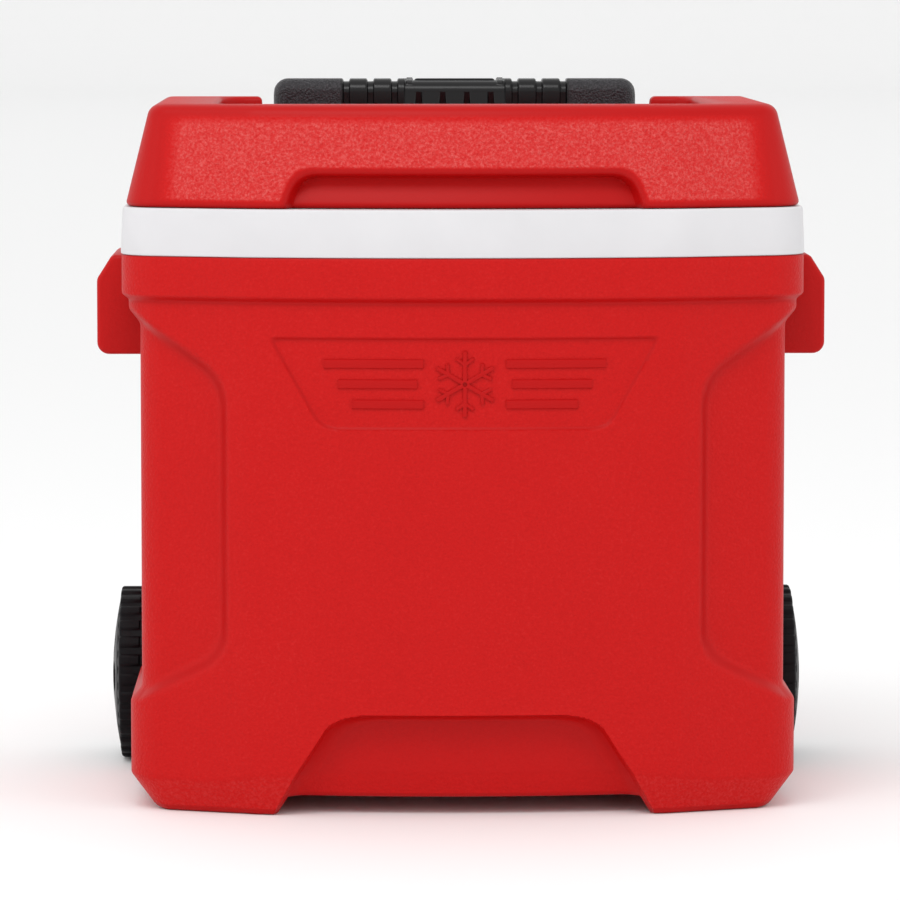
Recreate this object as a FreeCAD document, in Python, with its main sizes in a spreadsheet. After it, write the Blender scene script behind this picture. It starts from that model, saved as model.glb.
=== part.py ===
"""A small hard-sided cooler on two wheels, with a hinged lid and a telescoping tow handle.

Frame: +X is the cooler's right side seen from the front, the front faces -Y, +Z is up. The origin is on
the floor, under the middle of the whole cooler. All lengths are millimetres.
"""
import FreeCAD, Part
import math
import os

import Sketcher

PLAN = "XY_Plane"
FACE = "XZ_Plane"
SIDE = "YZ_Plane"
VECTOR = FreeCAD.Vector

doc = FreeCAD.newDocument("wheeled_cooler")
sheet = doc.addObject("Spreadsheet::Sheet", "Sizes")
subparts = []

# ---------------------------------------------------------------- driving dimensions

DIMENSIONS = {
    "depth_half": 158,          # half the overall depth: rim at the front, tow grip at the rear
    "wall": 3,                  # moulded outer skin
    "liner_wall": 2.5,
    "fit_gap": 0.08,            # radial clearance of every running fit
    "weld": 2,                  # how far mouldings that are one piece run into each other
    # plan outline, shared by the body, the rim band and the lid
    "side_x": 196.5,
    "bow_x": 125,               # where the bowed front ends and the slanted cheeks begin
    "bow_radius": 650,
    "cheek_slope": 0.347,
    "front_corner": 30,
    "rear_y": 118.5,
    "rear_corner": 25,
    # levels
    "keel_z": 10,
    "collar_z": 298,
    "body_top": 320,
    "band_top": 347.3,
    "lid_bottom": 347.6,
    "lid_top": 406,
    # body mouldings
    "collar_inset": 0.5,
    "wall_inset": 4.5,
    "recess_depth": 6.5,
    "recess_x": 139.3,
    "recess_corner": 14,
    "recess_low": 89.5,
    "recess_high": 254,
    "recess_fall": 24.5,        # how far its lower edge falls from the front to the side
    "recess_rise": 33.5,        # how far its upper edge climbs
    "arch_depth": 13,
    "arch_top_z": 58.8,
    "arch_top_x": 76,
    "arch_foot_x": 109,
    "arch_corner": 9,
    "panel_depth": 2,
    "panel_top_z": 274.6,
    "panel_low_z": 222.5,
    "panel_top_x": 108.7,
    "panel_low_x": 79,
    "panel_low_corner": 14,
    "panel_top_corner": 5,
    "foot_x": 176,
    "foot_chamfer_z": 20,
    "foot_back_y": -62,
    "handle_x": 214,            # moulded carry handles
    "handle_low_z": 257,
    "handle_front_y": -56,
    "handle_back_y": 34,
    "handle_lip": 4,
    "handle_edge": 7,
    # screws
    "head_radius": 3.2,
    "head_height": 2,
    "shank_radius": 1.7,
    "bracket_screw_x": 17,      # to either side of each tube
    "bracket_screw_length": 8.5,
    "hinge_screw_x": 14,        # to either side of each hinge's middle
    "base_screw_drop": 15,      # below the band's top edge
    "base_screw_length": 9,
    "leaf_screw_rise": 21,      # above the lid's bottom edge
    "leaf_screw_length": 8,
    # food compartment
    "cavity_x": 155,
    "cavity_front": -110,
    "cavity_back": 93,
    "cavity_floor": 68,
    "cavity_corner": 34,
    # lid
    "lid_inset": 2.8,
    "lid_draft": 14,
    "tray_x": 140,
    "tray_z": 365,
    "tray_front": -108,
    "tray_back": 84,
    "notch_x": 116.5,
    "scoop_low_x": 101,
    "scoop_high_x": 83,
    "scoop_z": 366,
    "scoop_depth": 11,
    "plug_depth": 10,
    "plug_gap": 1.8,
    # hinges
    "hinge_x": 150,
    "hinge_y": 122.5,
    "hinge_z": 347.4,
    "hinge_width": 45,
    "knuckle_radius": 3.7,
    "hinge_pin_radius": 1.5,
    "leaf_thickness": 2.5,
    "leaf_low": 8,              # levels of the lid's leaf above the lid's bottom edge
    "leaf_high": 28,
    "base_leaf_drop": 23,
    "barrel_gap": 0.35,
    # wheels
    "wheel_y": 94.5,
    "wheel_radius": 52.6,
    "wheel_inner": 170,
    "wheel_outer": 211,
    "dome_radius": 214,         # the wheels' outer faces are shallow domes
    "dome_at_rim": 3.7,         # how far the dome has fallen back at the rim
    "dome_at_tread": 5,
    "rim_radius": 40,
    "hub_radius": 11,
    "axle_radius": 4,
    "well_radius": 60,
    "well_x": 163,
    "sleeve_radius": 7,
    "sleeve_wall": 1.4,
    "seat_depth": 6,            # the hub's seat for the axle's cap
    "seat_wall": 1.5,
    "web_depth": 10,
    "window_radius": 8.5,
    "tread_depth": 2.2,
    "lug_gap_half": 1.6,
    "shoulder_height": 4.5,
    "washer_radius": 9,
    "washer_width": 1.6,
    "bush_radius": 11,
    "bush_length": 16,
    "cap_width": 5,
    "cap_gap": 0.6,
    # telescoping handle
    "tube_x": 85,
    "tube_y": 145.5,
    "outer_tube_radius": 8.5,
    "outer_tube_bore": 7.5,
    "mid_tube_radius": 7,
    "mid_tube_bore": 6.2,
    "inner_tube_radius": 5.5,
    "inner_tube_bore": 4.7,
    "outer_tube_low": 30,
    "outer_tube_top": 330,
    "mid_tube_low": 40,
    "mid_tube_top": 342,
    "inner_tube_low": 60,
    "inner_tube_top": 395,
    "travel": 262,              # of each telescoping stage
    "mid_pin_z": 37,
    "inner_pin_z": 57,
    "pin_radius": 1.9,
    "pin_length": 5,
    "rod_radius": 1.2,
    "slot_gap": 0.2,            # round each stop pin in its slot
    "slot_reach": 12,           # past the widest tube's wall
    "guide_flange": 6,
    "guide_length": 15,
    "bracket_plate": 4,
    "bracket_half": 22,         # how far the brackets reach past each tube's middle
    "bracket_web_half": 6,
    "ring_wall": 3,
    # tow grip
    "grip_half": 112,
    "grip_low": 388,
    "grip_top": 416,
    "grip_depth": 25,
    "button_half": 25,
    "groove_pitch": 14.9,
    "screw_radius": 1.45,
    "grip_corner": 10,
    "grip_edge": 7,
    "groove_radius": 2.4,
    "boss_radius": 3.6,
    "boss_rise": 5.5,           # of the screws above the grip's lower face
    "grip_head_radius": 2.8,
    "grip_head_sink": 2.6,
    "button_y_half": 4.5,
    "button_gap": 0.4,
    "crossbar_y_half": 2.5,
    "crossbar_top": 9,          # levels of the crossbar below the grip's top
    "crossbar_low": 14,
}


def fill_sheet():
    """Writes each driving dimension to the sheet as plain text, with its name as the alias."""
    for row, (name, value) in enumerate(DIMENSIONS.items(), start=1):
        sheet.set(f"A{row}", name)
        sheet.set(f"B{row}", str(value))
        sheet.setAlias(f"B{row}", name)
    doc.recompute()


def cell(name):
    """A bare dimension name as an expression, such as 'Sizes.wall'."""
    return f"Sizes.{name}"


def value(expression):
    """What an expression on the sheet works out to, as a plain number."""
    result = sheet.evalExpression(str(expression))
    return float(getattr(result, "Value", result))


fill_sheet()

# Lengths that follow from the driving dimensions, as expressions on the sheet.
BEYOND = 250            # well outside the cooler, for tools that cut right through
LID_SLOPE = "tan(Sizes.lid_draft * 1deg)"
FRONT = "-Sizes.depth_half"
BOW_DROP = "(Sizes.bow_radius - sqrt(Sizes.bow_radius^2 - Sizes.bow_x^2))"
CHEEK_Y = f"({FRONT} + {BOW_DROP})"
CORNER_Y = f"({CHEEK_Y} + (Sizes.side_x - Sizes.bow_x) * Sizes.cheek_slope)"

# ---------------------------------------------------------------- sketches and features


def corner(x, y, fillet=None, bow=None):
    """One corner of an outline: its place, its rounding, and the radius of the bowed edge leaving it.

    Outlines run anticlockwise, and only a corner that turns left is rounded.
    """
    return {"x": str(x), "y": str(y), "fillet": fillet, "bow": bow}


def add_outline(sketch, corners):
    """Draws one closed outline and ties every corner, rounding and bow to the sheet."""
    places = [VECTOR(value(c["x"]), value(c["y"]), 0) for c in corners]
    count = len(corners)
    starts = list(places)
    ends = list(places)
    for index, item in enumerate(corners):
        if item["fillet"] is None:
            continue
        before = (places[index - 1] - places[index]).normalize()
        after = (places[(index + 1) % count] - places[index]).normalize()
        reach = value(item["fillet"]) / math.tan(before.getAngle(after) / 2)
        ends[index] = places[index] + before * reach
        starts[index] = places[index] + after * reach
    ties = []
    edges = []
    for index, item in enumerate(corners):
        begin = starts[index]
        finish = ends[(index + 1) % count]
        if item["bow"] is None:
            edges.append(sketch.addGeometry(Part.LineSegment(begin, finish)))
        else:
            edges.append(sketch.addGeometry(bowed_edge(begin, finish, value(item["bow"]))))
            ties.append((Sketcher.Constraint("Radius", edges[-1], value(item["bow"])), item["bow"]))
    for index, item in enumerate(corners):
        incoming = edges[index - 1]
        outgoing = edges[index]
        if item["fillet"] is None:
            ties.append((Sketcher.Constraint("Coincident", incoming, 2, outgoing, 1), None))
            ties += point_ties(outgoing, 1, item)
        else:
            ties += rounding_ties(sketch, item, incoming, outgoing, (ends[index], places[index],
                                                                     starts[index]))
    add_ties(sketch, ties)


def bowed_edge(begin, finish, radius):
    """An arc that bulges to the right of its direction of travel, out of an anticlockwise outline."""
    chord = finish - begin
    rise = radius - math.sqrt(radius ** 2 - (chord.Length / 2) ** 2)
    outward = VECTOR(chord.y, -chord.x, 0).normalize()
    return Part.Arc(begin, (begin + finish) * 0.5 + outward * rise, finish)


def rounding_ties(sketch, item, incoming, outgoing, points):
    """Rounds one corner, and keeps the sharp corner as a construction point that the sheet places."""
    first, place, last = points
    radius = value(item["fillet"])
    towards = ((first + last) * 0.5 - place).normalize()
    centre = place + towards * (radius / math.sin((first - place).getAngle(towards)))
    arc = sketch.addGeometry(Part.Arc(first, centre - towards * radius, last))
    curve = sketch.Geometry[arc]
    starts_first = curve.StartPoint.distanceToPoint(first) < curve.StartPoint.distanceToPoint(last)
    near, far = (1, 2) if starts_first else (2, 1)
    point = sketch.addGeometry(Part.Point(place), True)
    return [
        (Sketcher.Constraint("Tangent", incoming, 2, arc, near), None),
        (Sketcher.Constraint("Tangent", arc, far, outgoing, 1), None),
        (Sketcher.Constraint("Radius", arc, radius), item["fillet"]),
        (Sketcher.Constraint("PointOnObject", point, 1, incoming), None),
        (Sketcher.Constraint("PointOnObject", point, 1, outgoing), None),
    ] + point_ties(point, 1, item)


def point_ties(geometry, end, item):
    """Holds one point of a sketch at a corner's place."""
    return [(Sketcher.Constraint(kind, -1, 1, geometry, end, value(item[axis])), item[axis])
            for kind, axis in (("DistanceX", "x"), ("DistanceY", "y"))]


def add_ties(sketch, ties):
    """Adds all of an outline's constraints at once, then binds each one's size to the sheet."""
    numbers = sketch.addConstraint([constraint for constraint, _ in ties])
    for number, (_, expression) in zip(numbers, ties):
        if expression is not None:
            sketch.setExpression(f"Constraints[{number}]", str(expression))


def add_circle(sketch, x, y, radius):
    """Draws one circle whose centre and radius are tied to the sheet."""
    centre = VECTOR(value(x), value(y), 0)
    circle = sketch.addGeometry(Part.Circle(centre, VECTOR(0, 0, 1), value(radius)))
    ties = [(Sketcher.Constraint("Radius", circle, value(radius)), radius)]
    add_ties(sketch, ties + point_ties(circle, 3, corner(x, y)))


def new_body(label):
    """An empty body to build features in."""
    body = doc.addObject("PartDesign::Body", label)
    body.Label = label
    return body


def new_sketch(body, plane, lift=0):
    """A sketch on one of the body's own origin planes, lifted along world +X, -Y or +Z."""
    sketch = body.newObject("Sketcher::SketchObject", f"{body.Name}_sketch")
    support = [item for item in body.Origin.OriginFeatures if item.Role == plane][0]
    sketch.AttachmentSupport = (support, [""])
    sketch.MapMode = "FlatFace"
    sketch.setExpression(".AttachmentOffset.Base.z", str(lift))
    return sketch


def outline_sketch(body, plane, outlines, lift=0):
    """A sketch of one or more closed outlines."""
    sketch = new_sketch(body, plane, lift)
    for corners in outlines:
        add_outline(sketch, corners)
    doc.recompute()
    return sketch


def circle_sketch(body, plane, circles, lift=0):
    """A sketch of circles, each a centre and a radius."""
    sketch = new_sketch(body, plane, lift)
    for x, y, radius in circles:
        add_circle(sketch, x, y, radius)
    doc.recompute()
    return sketch


def pad(body, sketch, length, both_ways=False, draft=None):
    """Adds material from a sketch: up, to the front, or to the right, as its plane faces."""
    feature = body.newObject("PartDesign::Pad", f"{body.Name}_pad")
    feature.Profile = sketch
    feature.setExpression("Length", str(length))
    if both_ways:
        feature.SideType = "Symmetric"
    if draft is not None:
        feature.setExpression("TaperAngle", str(draft))
    doc.recompute()
    return feature


def pocket(body, sketch, length, both_ways=False, reverse=False):
    """Removes material from a sketch, and stops if nothing was removed."""
    before = body.Shape.Volume
    feature = body.newObject("PartDesign::Pocket", f"{body.Name}_pocket")
    feature.Profile = sketch
    feature.setExpression("Length", str(length))
    feature.Reversed = reverse
    if both_ways:
        feature.SideType = "Symmetric"
    doc.recompute()
    if body.Shape.Volume > before - 1e-3:
        raise RuntimeError(f"a pocket in {body.Label} cuts nothing")
    return feature


def revolve(body, sketch, axis):
    """Turns a sketch a full turn about one of the body's own origin axes."""
    feature = body.newObject("PartDesign::Revolution", f"{body.Name}_turned")
    feature.Profile = sketch
    support = [item for item in body.Origin.OriginFeatures if item.Role == axis][0]
    feature.ReferenceAxis = (support, [""])
    feature.Angle = 360
    doc.recompute()
    return feature


def polar(body, feature, axis, count):
    """Repeats a feature round one of the body's own origin axes."""
    pattern = body.newObject("PartDesign::PolarPattern", f"{body.Name}_ring")
    pattern.Originals = [feature]
    support = [item for item in body.Origin.OriginFeatures if item.Role == axis][0]
    pattern.Axis = (support, [""])
    pattern.Angle = 360
    pattern.Occurrences = count
    body.Tip = pattern
    doc.recompute()
    return pattern


def round_edges(body, radius, chosen):
    """Rounds the edges of the body's last feature that the test picks."""
    base = body.Tip
    names = [f"Edge{n}" for n, edge in enumerate(base.Shape.Edges, start=1) if chosen(edge)]
    feature = body.newObject("PartDesign::Fillet", f"{body.Name}_rounding")
    feature.Base = (base, names)
    feature.setExpression("Radius", str(radius))
    doc.recompute()
    return feature


def place(obj, x=0, y=0, z=0):
    """Puts a sub-part at a place worked out from the sheet."""
    for axis, expression in (("x", x), ("y", y), ("z", z)):
        if expression != 0:
            obj.setExpression(f".Placement.Base.{axis}", str(expression))
    doc.recompute()
    return obj


def cut(label, base, *tools):
    """Base less every tool."""
    result = doc.addObject("Part::Cut", label)
    result.Label = label
    result.Base = base
    result.Tool = tools[0] if len(tools) == 1 else fuse(f"{label}_tools", *tools)
    doc.recompute()
    return result


def fuse(label, *pieces):
    """Several solids joined as one."""
    result = doc.addObject("Part::MultiFuse", label)
    result.Label = label
    result.Shapes = list(pieces)
    doc.recompute()
    return result


def group(label, *pieces):
    """Separate solids that share one node."""
    result = doc.addObject("Part::Compound", label)
    result.Label = label
    result.Links = list(pieces)
    doc.recompute()
    return result


def mirror(label, source):
    """The same piece on the cooler's other side."""
    result = doc.addObject("Part::Mirroring", label)
    result.Label = label
    result.Source = source
    result.Normal = VECTOR(1, 0, 0)
    doc.recompute()
    return result


def cylinder(label, radius, length, x=0, y=0, z=0, along="z"):
    """A plain round bar that starts at a place and runs along +X, +Y or +Z."""
    bar = doc.addObject("Part::Cylinder", label)
    bar.Label = label
    bar.setExpression("Radius", str(radius))
    bar.setExpression("Height", str(length))
    turns = {"x": (VECTOR(0, 1, 0), 90), "y": (VECTOR(1, 0, 0), -90), "z": (VECTOR(0, 0, 1), 0)}
    bar.Placement = FreeCAD.Placement(VECTOR(0, 0, 0), FreeCAD.Rotation(*turns[along]))
    return place(bar, x, y, z)


def block(label, x, y, z):
    """A plain box between two values on each axis."""
    box = doc.addObject("Part::Box", label)
    box.Label = label
    for size, (low, high) in zip(("Length", "Width", "Height"), (x, y, z)):
        box.setExpression(size, f"({high}) - ({low})")
    return place(box, x[0], y[0], z[0])


def tube(label, radius, bore, length, x=0, y=0, z=0, along="z"):
    """A round pipe."""
    outer = cylinder(f"{label}_outside", radius, length, x, y, z, along)
    inner = cylinder(f"{label}_bore", bore, length, x, y, z, along)
    return cut(label, outer, inner)


def keep(obj):
    """Marks an object as a finished sub-part, to be written to its own file."""
    subparts.append(obj)
    return obj


# ---------------------------------------------------------------- plan outlines


def plan(inset):
    """The cooler's outline from above, moved inward by an inset."""
    right_half = [
        corner("-Sizes.bow_x", f"{CHEEK_Y} + {inset}", bow=cell("bow_radius")),
        corner("Sizes.bow_x", f"{CHEEK_Y} + {inset}"),
        corner(f"Sizes.side_x - {inset}", f"{CORNER_Y} + {inset} * 0.7", f"Sizes.front_corner - {inset}"),
        corner(f"Sizes.side_x - {inset}", f"Sizes.rear_y - {inset}", f"Sizes.rear_corner - {inset}"),
    ]
    left_half = [corner(f"-({c['x']})", c["y"], c["fillet"]) for c in reversed(right_half[2:])]
    return right_half + left_half


def compartment(inset):
    """The food compartment's outline from above, moved outward by a negative inset."""
    side = f"(Sizes.cavity_x - {inset})"
    front = f"(Sizes.cavity_front + {inset})"
    back = f"(Sizes.cavity_back - {inset})"
    radius = f"(Sizes.cavity_corner - {inset})"
    return [
        corner(f"-{side}", front, radius),
        corner(side, front, radius),
        corner(side, back, radius),
        corner(f"-{side}", back, radius),
    ]


def plan_slab(label, inset, low, high, draft=None):
    """The cooler's outline as a solid between two levels."""
    body = new_body(label)
    sketch = outline_sketch(body, PLAN, [plan(inset)], low)
    pad(body, sketch, f"({high}) - ({low})", draft=draft)
    return body


def face_prism(label, corners, front, back):
    """An outline seen from the front, as a solid between two depths."""
    body = new_body(label)
    sketch = outline_sketch(body, FACE, [corners], f"-({back})")
    pad(body, sketch, f"({back}) - ({front})")
    return body


def screw_set(label, places, head_y, level, shank):
    """Screws that run along Y from a seat at head_y, and the holes that they need in what they hold."""
    screws = []
    holes = []
    for x in places:
        tip_y = f"({head_y}) - {shank}"
        head = cylinder(f"{label}_head", cell("head_radius"), cell("head_height"), x, head_y, level, "y")
        body = cylinder(f"{label}_shank", cell("shank_radius"), shank, x, tip_y, level, "y")
        screws.append(fuse(f"{label}_one", head, body))
        holes.append(cylinder(f"{label}_hole", cell("shank_radius"), f"{shank} + 1", x, tip_y, level, "y"))
        holes.append(cylinder(f"{label}_sink", cell("head_radius"), 12, x, head_y, level, "y"))
    keep(group(label, *screws))
    return holes


BACK_WALL = "(Sizes.rear_y - Sizes.wall_inset)"
BRACKETS = {
    "upper_bracket": ("(Sizes.collar_z - 36)", "(Sizes.collar_z - 2)"),
    "lower_bracket": ("(Sizes.outer_tube_low + 4)", "(Sizes.outer_tube_low + 34)"),
}


def pairs(middle, offset):
    """Four places along X: one at each side of a middle on the left, and the same on the right."""
    return [f"-{middle} - {offset}", f"-{middle} + {offset}", f"{middle} - {offset}", f"{middle} + {offset}"]


def make_screws():
    """The screws that hold the brackets and hinges, each set sharing one node."""
    holes = {}
    bracket_places = pairs(cell("tube_x"), cell("bracket_screw_x"))
    for name, (low, high) in BRACKETS.items():
        level = f"({low} + {high}) / 2 + 3"
        seat = f"{BACK_WALL} + Sizes.bracket_plate"
        holes[name] = screw_set(f"{name}_screws", bracket_places, seat, level,
                                cell("bracket_screw_length"))
    hinge_places = pairs(cell("hinge_x"), cell("hinge_screw_x"))
    holes["hinge_base"] = screw_set("hinge_base_screws", hinge_places, "Sizes.rear_y + 2",
                                    "Sizes.band_top - Sizes.base_screw_drop", cell("base_screw_length"))
    lid_seat = f"Sizes.rear_y - Sizes.lid_inset - Sizes.leaf_screw_rise * {LID_SLOPE} + 2"
    holes["hinge_leaf"] = screw_set("hinge_leaf_screws", hinge_places, lid_seat,
                                    "Sizes.lid_bottom + Sizes.leaf_screw_rise", cell("leaf_screw_length"))
    return holes


# ---------------------------------------------------------------- body shell

RECESS_LOW_X = 187      # where the side recess's lower edge has fallen to its lowest
RECESS_HIGH_X = 189     # where its upper edge has climbed to its highest

def recess_tool(label, corners, front, back, inset):
    """What a shallow recess removes: its outline from the front, outside the plan at an inset."""
    prism = face_prism(f"{label}_outline", corners, front, back)
    core = plan_slab(f"{label}_core", inset, 0, "Sizes.body_top + 10")
    return cut(label, prism, core)


def side_recess_outline(skin):
    """The sunk field that wraps round the right side from front to rear, with slanted ends."""
    edge = f"(Sizes.recess_x - {skin})"
    low = f"(Sizes.recess_low - {skin})"
    high = f"(Sizes.recess_high + {skin})"
    out = "Sizes.side_x + 20"
    return [
        corner(edge, low, cell("recess_corner")),
        corner(RECESS_LOW_X, f"{low} - Sizes.recess_fall"),
        corner(out, f"{low} - Sizes.recess_fall"),
        corner(out, f"{high} + Sizes.recess_rise"),
        corner(RECESS_HIGH_X, f"{high} + Sizes.recess_rise"),
        corner(edge, high, cell("recess_corner")),
    ]


def arch_outline(skin):
    """The toe recess low on the front, between the two feet."""
    low = "Sizes.keel_z - 20"
    return [
        corner(f"-(Sizes.arch_foot_x + {skin})", low),
        corner(f"Sizes.arch_foot_x + {skin}", low),
        corner(f"Sizes.arch_foot_x + {skin}", "Sizes.keel_z"),
        corner(f"Sizes.arch_top_x + {skin}", f"Sizes.arch_top_z + {skin}", cell("arch_corner")),
        corner(f"-(Sizes.arch_top_x + {skin})", f"Sizes.arch_top_z + {skin}", cell("arch_corner")),
        corner(f"-(Sizes.arch_foot_x + {skin})", "Sizes.keel_z"),
    ]


def panel_outline():
    """The shallow badge panel high on the front."""
    return [
        corner("-Sizes.panel_low_x", "Sizes.panel_low_z", cell("panel_low_corner")),
        corner("Sizes.panel_low_x", "Sizes.panel_low_z", cell("panel_low_corner")),
        corner("Sizes.panel_top_x", "Sizes.panel_top_z", cell("panel_top_corner")),
        corner("-Sizes.panel_top_x", "Sizes.panel_top_z", cell("panel_top_corner")),
    ]


def side_chamfer(label, skin):
    """The wedge taken off the body's lower side edge, over its whole depth."""
    outline = [
        corner(f"Sizes.foot_x - {skin}", 0),
        corner("Sizes.side_x + 10", 0),
        corner("Sizes.side_x + 10", f"Sizes.foot_chamfer_z + {skin}"),
        corner(f"Sizes.side_x - Sizes.wall_inset - {skin}", f"Sizes.foot_chamfer_z + {skin}"),
    ]
    return face_prism(label, outline, -BEYOND, BEYOND)


def body_moulding(label, skin):
    """The cooler's outer form moved inward by a skin: the skin's outside at 0, its inside at the wall."""
    wall = plan_slab(f"{label}_wall", f"(Sizes.wall_inset + {skin})", f"(Sizes.keel_z + {skin})",
                     "(Sizes.collar_z + 5)")
    collar = plan_slab(f"{label}_collar", f"(Sizes.collar_inset + {skin})",
                       f"(Sizes.collar_z + {skin})", "Sizes.body_top")
    whole = fuse(f"{label}_form", wall, collar)
    deep = f"(Sizes.wall_inset + Sizes.recess_depth + {skin})"
    side = recess_tool(f"{label}_side_recess", side_recess_outline(skin), -BEYOND, BEYOND, deep)
    toe = recess_tool(f"{label}_toe", arch_outline(skin), -BEYOND, -100,
                      f"(Sizes.wall_inset + Sizes.arch_depth + {skin})")
    sides = [side, mirror(f"{label}_side_recess_left", side)]
    well = cylinder(f"{label}_well", f"Sizes.well_radius + {skin}", 80,
                    f"Sizes.well_x - {skin}", "Sizes.wheel_y", "Sizes.wheel_radius", "x")
    chamfer = side_chamfer(f"{label}_chamfer", skin)
    return cut(label, whole, *sides, toe, well, mirror(f"{label}_well_left", well),
               chamfer, mirror(f"{label}_chamfer_left", chamfer))


def front_foot(label):
    """A moulded foot under one front corner, chamfered towards the side."""
    outline = [
        corner("Sizes.arch_foot_x", "Sizes.keel_z + 4"),
        corner("Sizes.arch_foot_x", 0, 2),
        corner("Sizes.foot_x", 0, 4),
        corner("Sizes.side_x - Sizes.wall_inset", "Sizes.foot_chamfer_z"),
        corner("Sizes.side_x - Sizes.wall_inset - 14", "Sizes.foot_chamfer_z"),
    ]
    prism = face_prism(f"{label}_outline", outline, -BEYOND, "Sizes.foot_back_y")
    footprint = plan_slab(f"{label}_footprint", "(Sizes.wall_inset + 2)", 0, "Sizes.foot_chamfer_z")
    result = doc.addObject("Part::Common", label)
    result.Base = prism
    result.Tool = footprint
    doc.recompute()
    return result


def carry_handle(label):
    """A moulded carry handle on one side: a lip that hangs over a finger pocket open below."""
    in_recess = "Sizes.side_x - Sizes.wall_inset - Sizes.recess_depth - Sizes.weld"
    in_wall = "Sizes.side_x - Sizes.wall_inset - Sizes.weld"
    in_collar = "Sizes.side_x - Sizes.collar_inset - Sizes.weld"
    recess_top = "Sizes.recess_high + Sizes.recess_rise - 1"
    lip = [
        corner(in_recess, "Sizes.handle_low_z"),
        corner("Sizes.handle_x", "Sizes.handle_low_z", cell("handle_edge")),
        corner("Sizes.handle_x", "Sizes.collar_z + 4", "Sizes.handle_edge - 1"),
        corner("Sizes.side_x + 6", "Sizes.body_top - 3", 4),
        corner(in_collar, "Sizes.body_top - 3"),
        corner(in_collar, "Sizes.collar_z + 2"),
        corner(in_wall, "Sizes.collar_z + 2"),
        corner(in_wall, recess_top),
        corner(in_recess, recess_top),
    ]
    body = new_body(label)
    outline = outline_sketch(body, FACE, [lip], "-Sizes.handle_back_y")
    pad(body, outline, "Sizes.handle_back_y - Sizes.handle_front_y")
    hand = [
        corner(in_recess, "Sizes.handle_low_z - 5"),
        corner("Sizes.handle_x - Sizes.handle_lip", "Sizes.handle_low_z - 5"),
        corner("Sizes.handle_x - Sizes.handle_lip", "Sizes.collar_z + 1", "Sizes.handle_edge - 1"),
        corner(in_recess, "Sizes.collar_z + 1"),
    ]
    hollow = outline_sketch(body, FACE, [hand], "-(Sizes.handle_back_y - Sizes.handle_lip)")
    pocket(body, hollow, "Sizes.handle_back_y - Sizes.handle_front_y - 2 * Sizes.handle_lip",
           reverse=True)
    return body


def make_body(holes):
    """The outer shell, the white liner with its rim band, and the foam between them."""
    hollow = body_moulding("body_hollow", cell("wall"))
    outside = body_moulding("body_outside", 0)
    foot = front_foot("foot_right")
    handle = carry_handle("carry_handle_right")
    badge = recess_tool("badge_panel", panel_outline(), -BEYOND, -100,
                        "(Sizes.wall_inset + Sizes.panel_depth)")
    sleeve_hole = cylinder("sleeve_hole", "Sizes.sleeve_radius", "2 * Sizes.side_x", "-Sizes.side_x",
                           "Sizes.wheel_y", "Sizes.wheel_radius", "x")
    feet = fuse("body_with_feet", outside, foot, mirror("foot_left", foot))
    bracket_holes = holes["upper_bracket"] + holes["lower_bracket"]
    skin = cut("body_skin", feet, hollow, badge, sleeve_hole, *bracket_holes)
    keep(fuse("outer_shell", skin, handle, mirror("carry_handle_left", handle)))

    liner = new_body("liner_form")
    band = outline_sketch(liner, PLAN, [plan(0)], "Sizes.body_top")
    pad(liner, band, "Sizes.band_top - Sizes.body_top")
    tub = outline_sketch(liner, PLAN, [compartment("-Sizes.liner_wall")],
                         "Sizes.cavity_floor - Sizes.liner_wall")
    pad(liner, tub, "Sizes.body_top + 5 - Sizes.cavity_floor")
    cavity = outline_sketch(liner, PLAN, [compartment(0)], "Sizes.cavity_floor")
    pocket(liner, cavity, "Sizes.band_top - Sizes.cavity_floor + 1", reverse=True)

    tub_space = new_body("tub_space")
    outline = outline_sketch(tub_space, PLAN, [compartment("-Sizes.liner_wall")],
                             "Sizes.cavity_floor - Sizes.liner_wall")
    pad(tub_space, outline, "Sizes.body_top")
    band_inside = plan_slab("band_inside", cell("wall"), cell("body_top"), "Sizes.band_top - Sizes.wall")
    band_room = cut("band_room", band_inside, tub_space)
    keep(cut("inner_liner", liner, band_room, *holes["hinge_base"]))

    sleeve_space = cylinder("sleeve_space", "Sizes.sleeve_radius", "2 * Sizes.side_x", "-Sizes.side_x",
                            "Sizes.wheel_y", "Sizes.wheel_radius", "x")
    filling = fuse("foam_form", body_moulding("foam_lower", cell("wall")), band_inside)
    keep(cut("body_foam", filling, tub_space, sleeve_space, *bracket_holes, *holes["hinge_base"]))


# ---------------------------------------------------------------- lid


def tray_outline(skin):
    """The sunk tray on top of the lid, with the notch behind it that clears the tow grip."""
    wide = f"(Sizes.tray_x + {skin})"
    narrow = f"(Sizes.notch_x + {skin})"
    front = f"(Sizes.tray_front - {skin})"
    back = f"(Sizes.tray_back + {skin})"
    return [
        corner(f"-{wide}", front, 12),
        corner(wide, front, 12),
        corner(wide, back, 8),
        corner(narrow, back),
        corner(narrow, "Sizes.rear_y + 20"),
        corner(f"-{narrow}", "Sizes.rear_y + 20"),
        corner(f"-{narrow}", back),
        corner(f"-{wide}", back, 8),
    ]


def scoop_outline(skin):
    """The finger scoop under the lid's front edge."""
    return [
        corner(f"-(Sizes.scoop_low_x + {skin})", "Sizes.lid_bottom - 10"),
        corner(f"Sizes.scoop_low_x + {skin}", "Sizes.lid_bottom - 10"),
        corner(f"Sizes.scoop_low_x + {skin}", "Sizes.lid_bottom + 2"),
        corner(f"Sizes.scoop_high_x + {skin}", f"Sizes.scoop_z + {skin}", 6),
        corner(f"-(Sizes.scoop_high_x + {skin})", f"Sizes.scoop_z + {skin}", 6),
        corner(f"-(Sizes.scoop_low_x + {skin})", "Sizes.lid_bottom + 2"),
    ]


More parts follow.
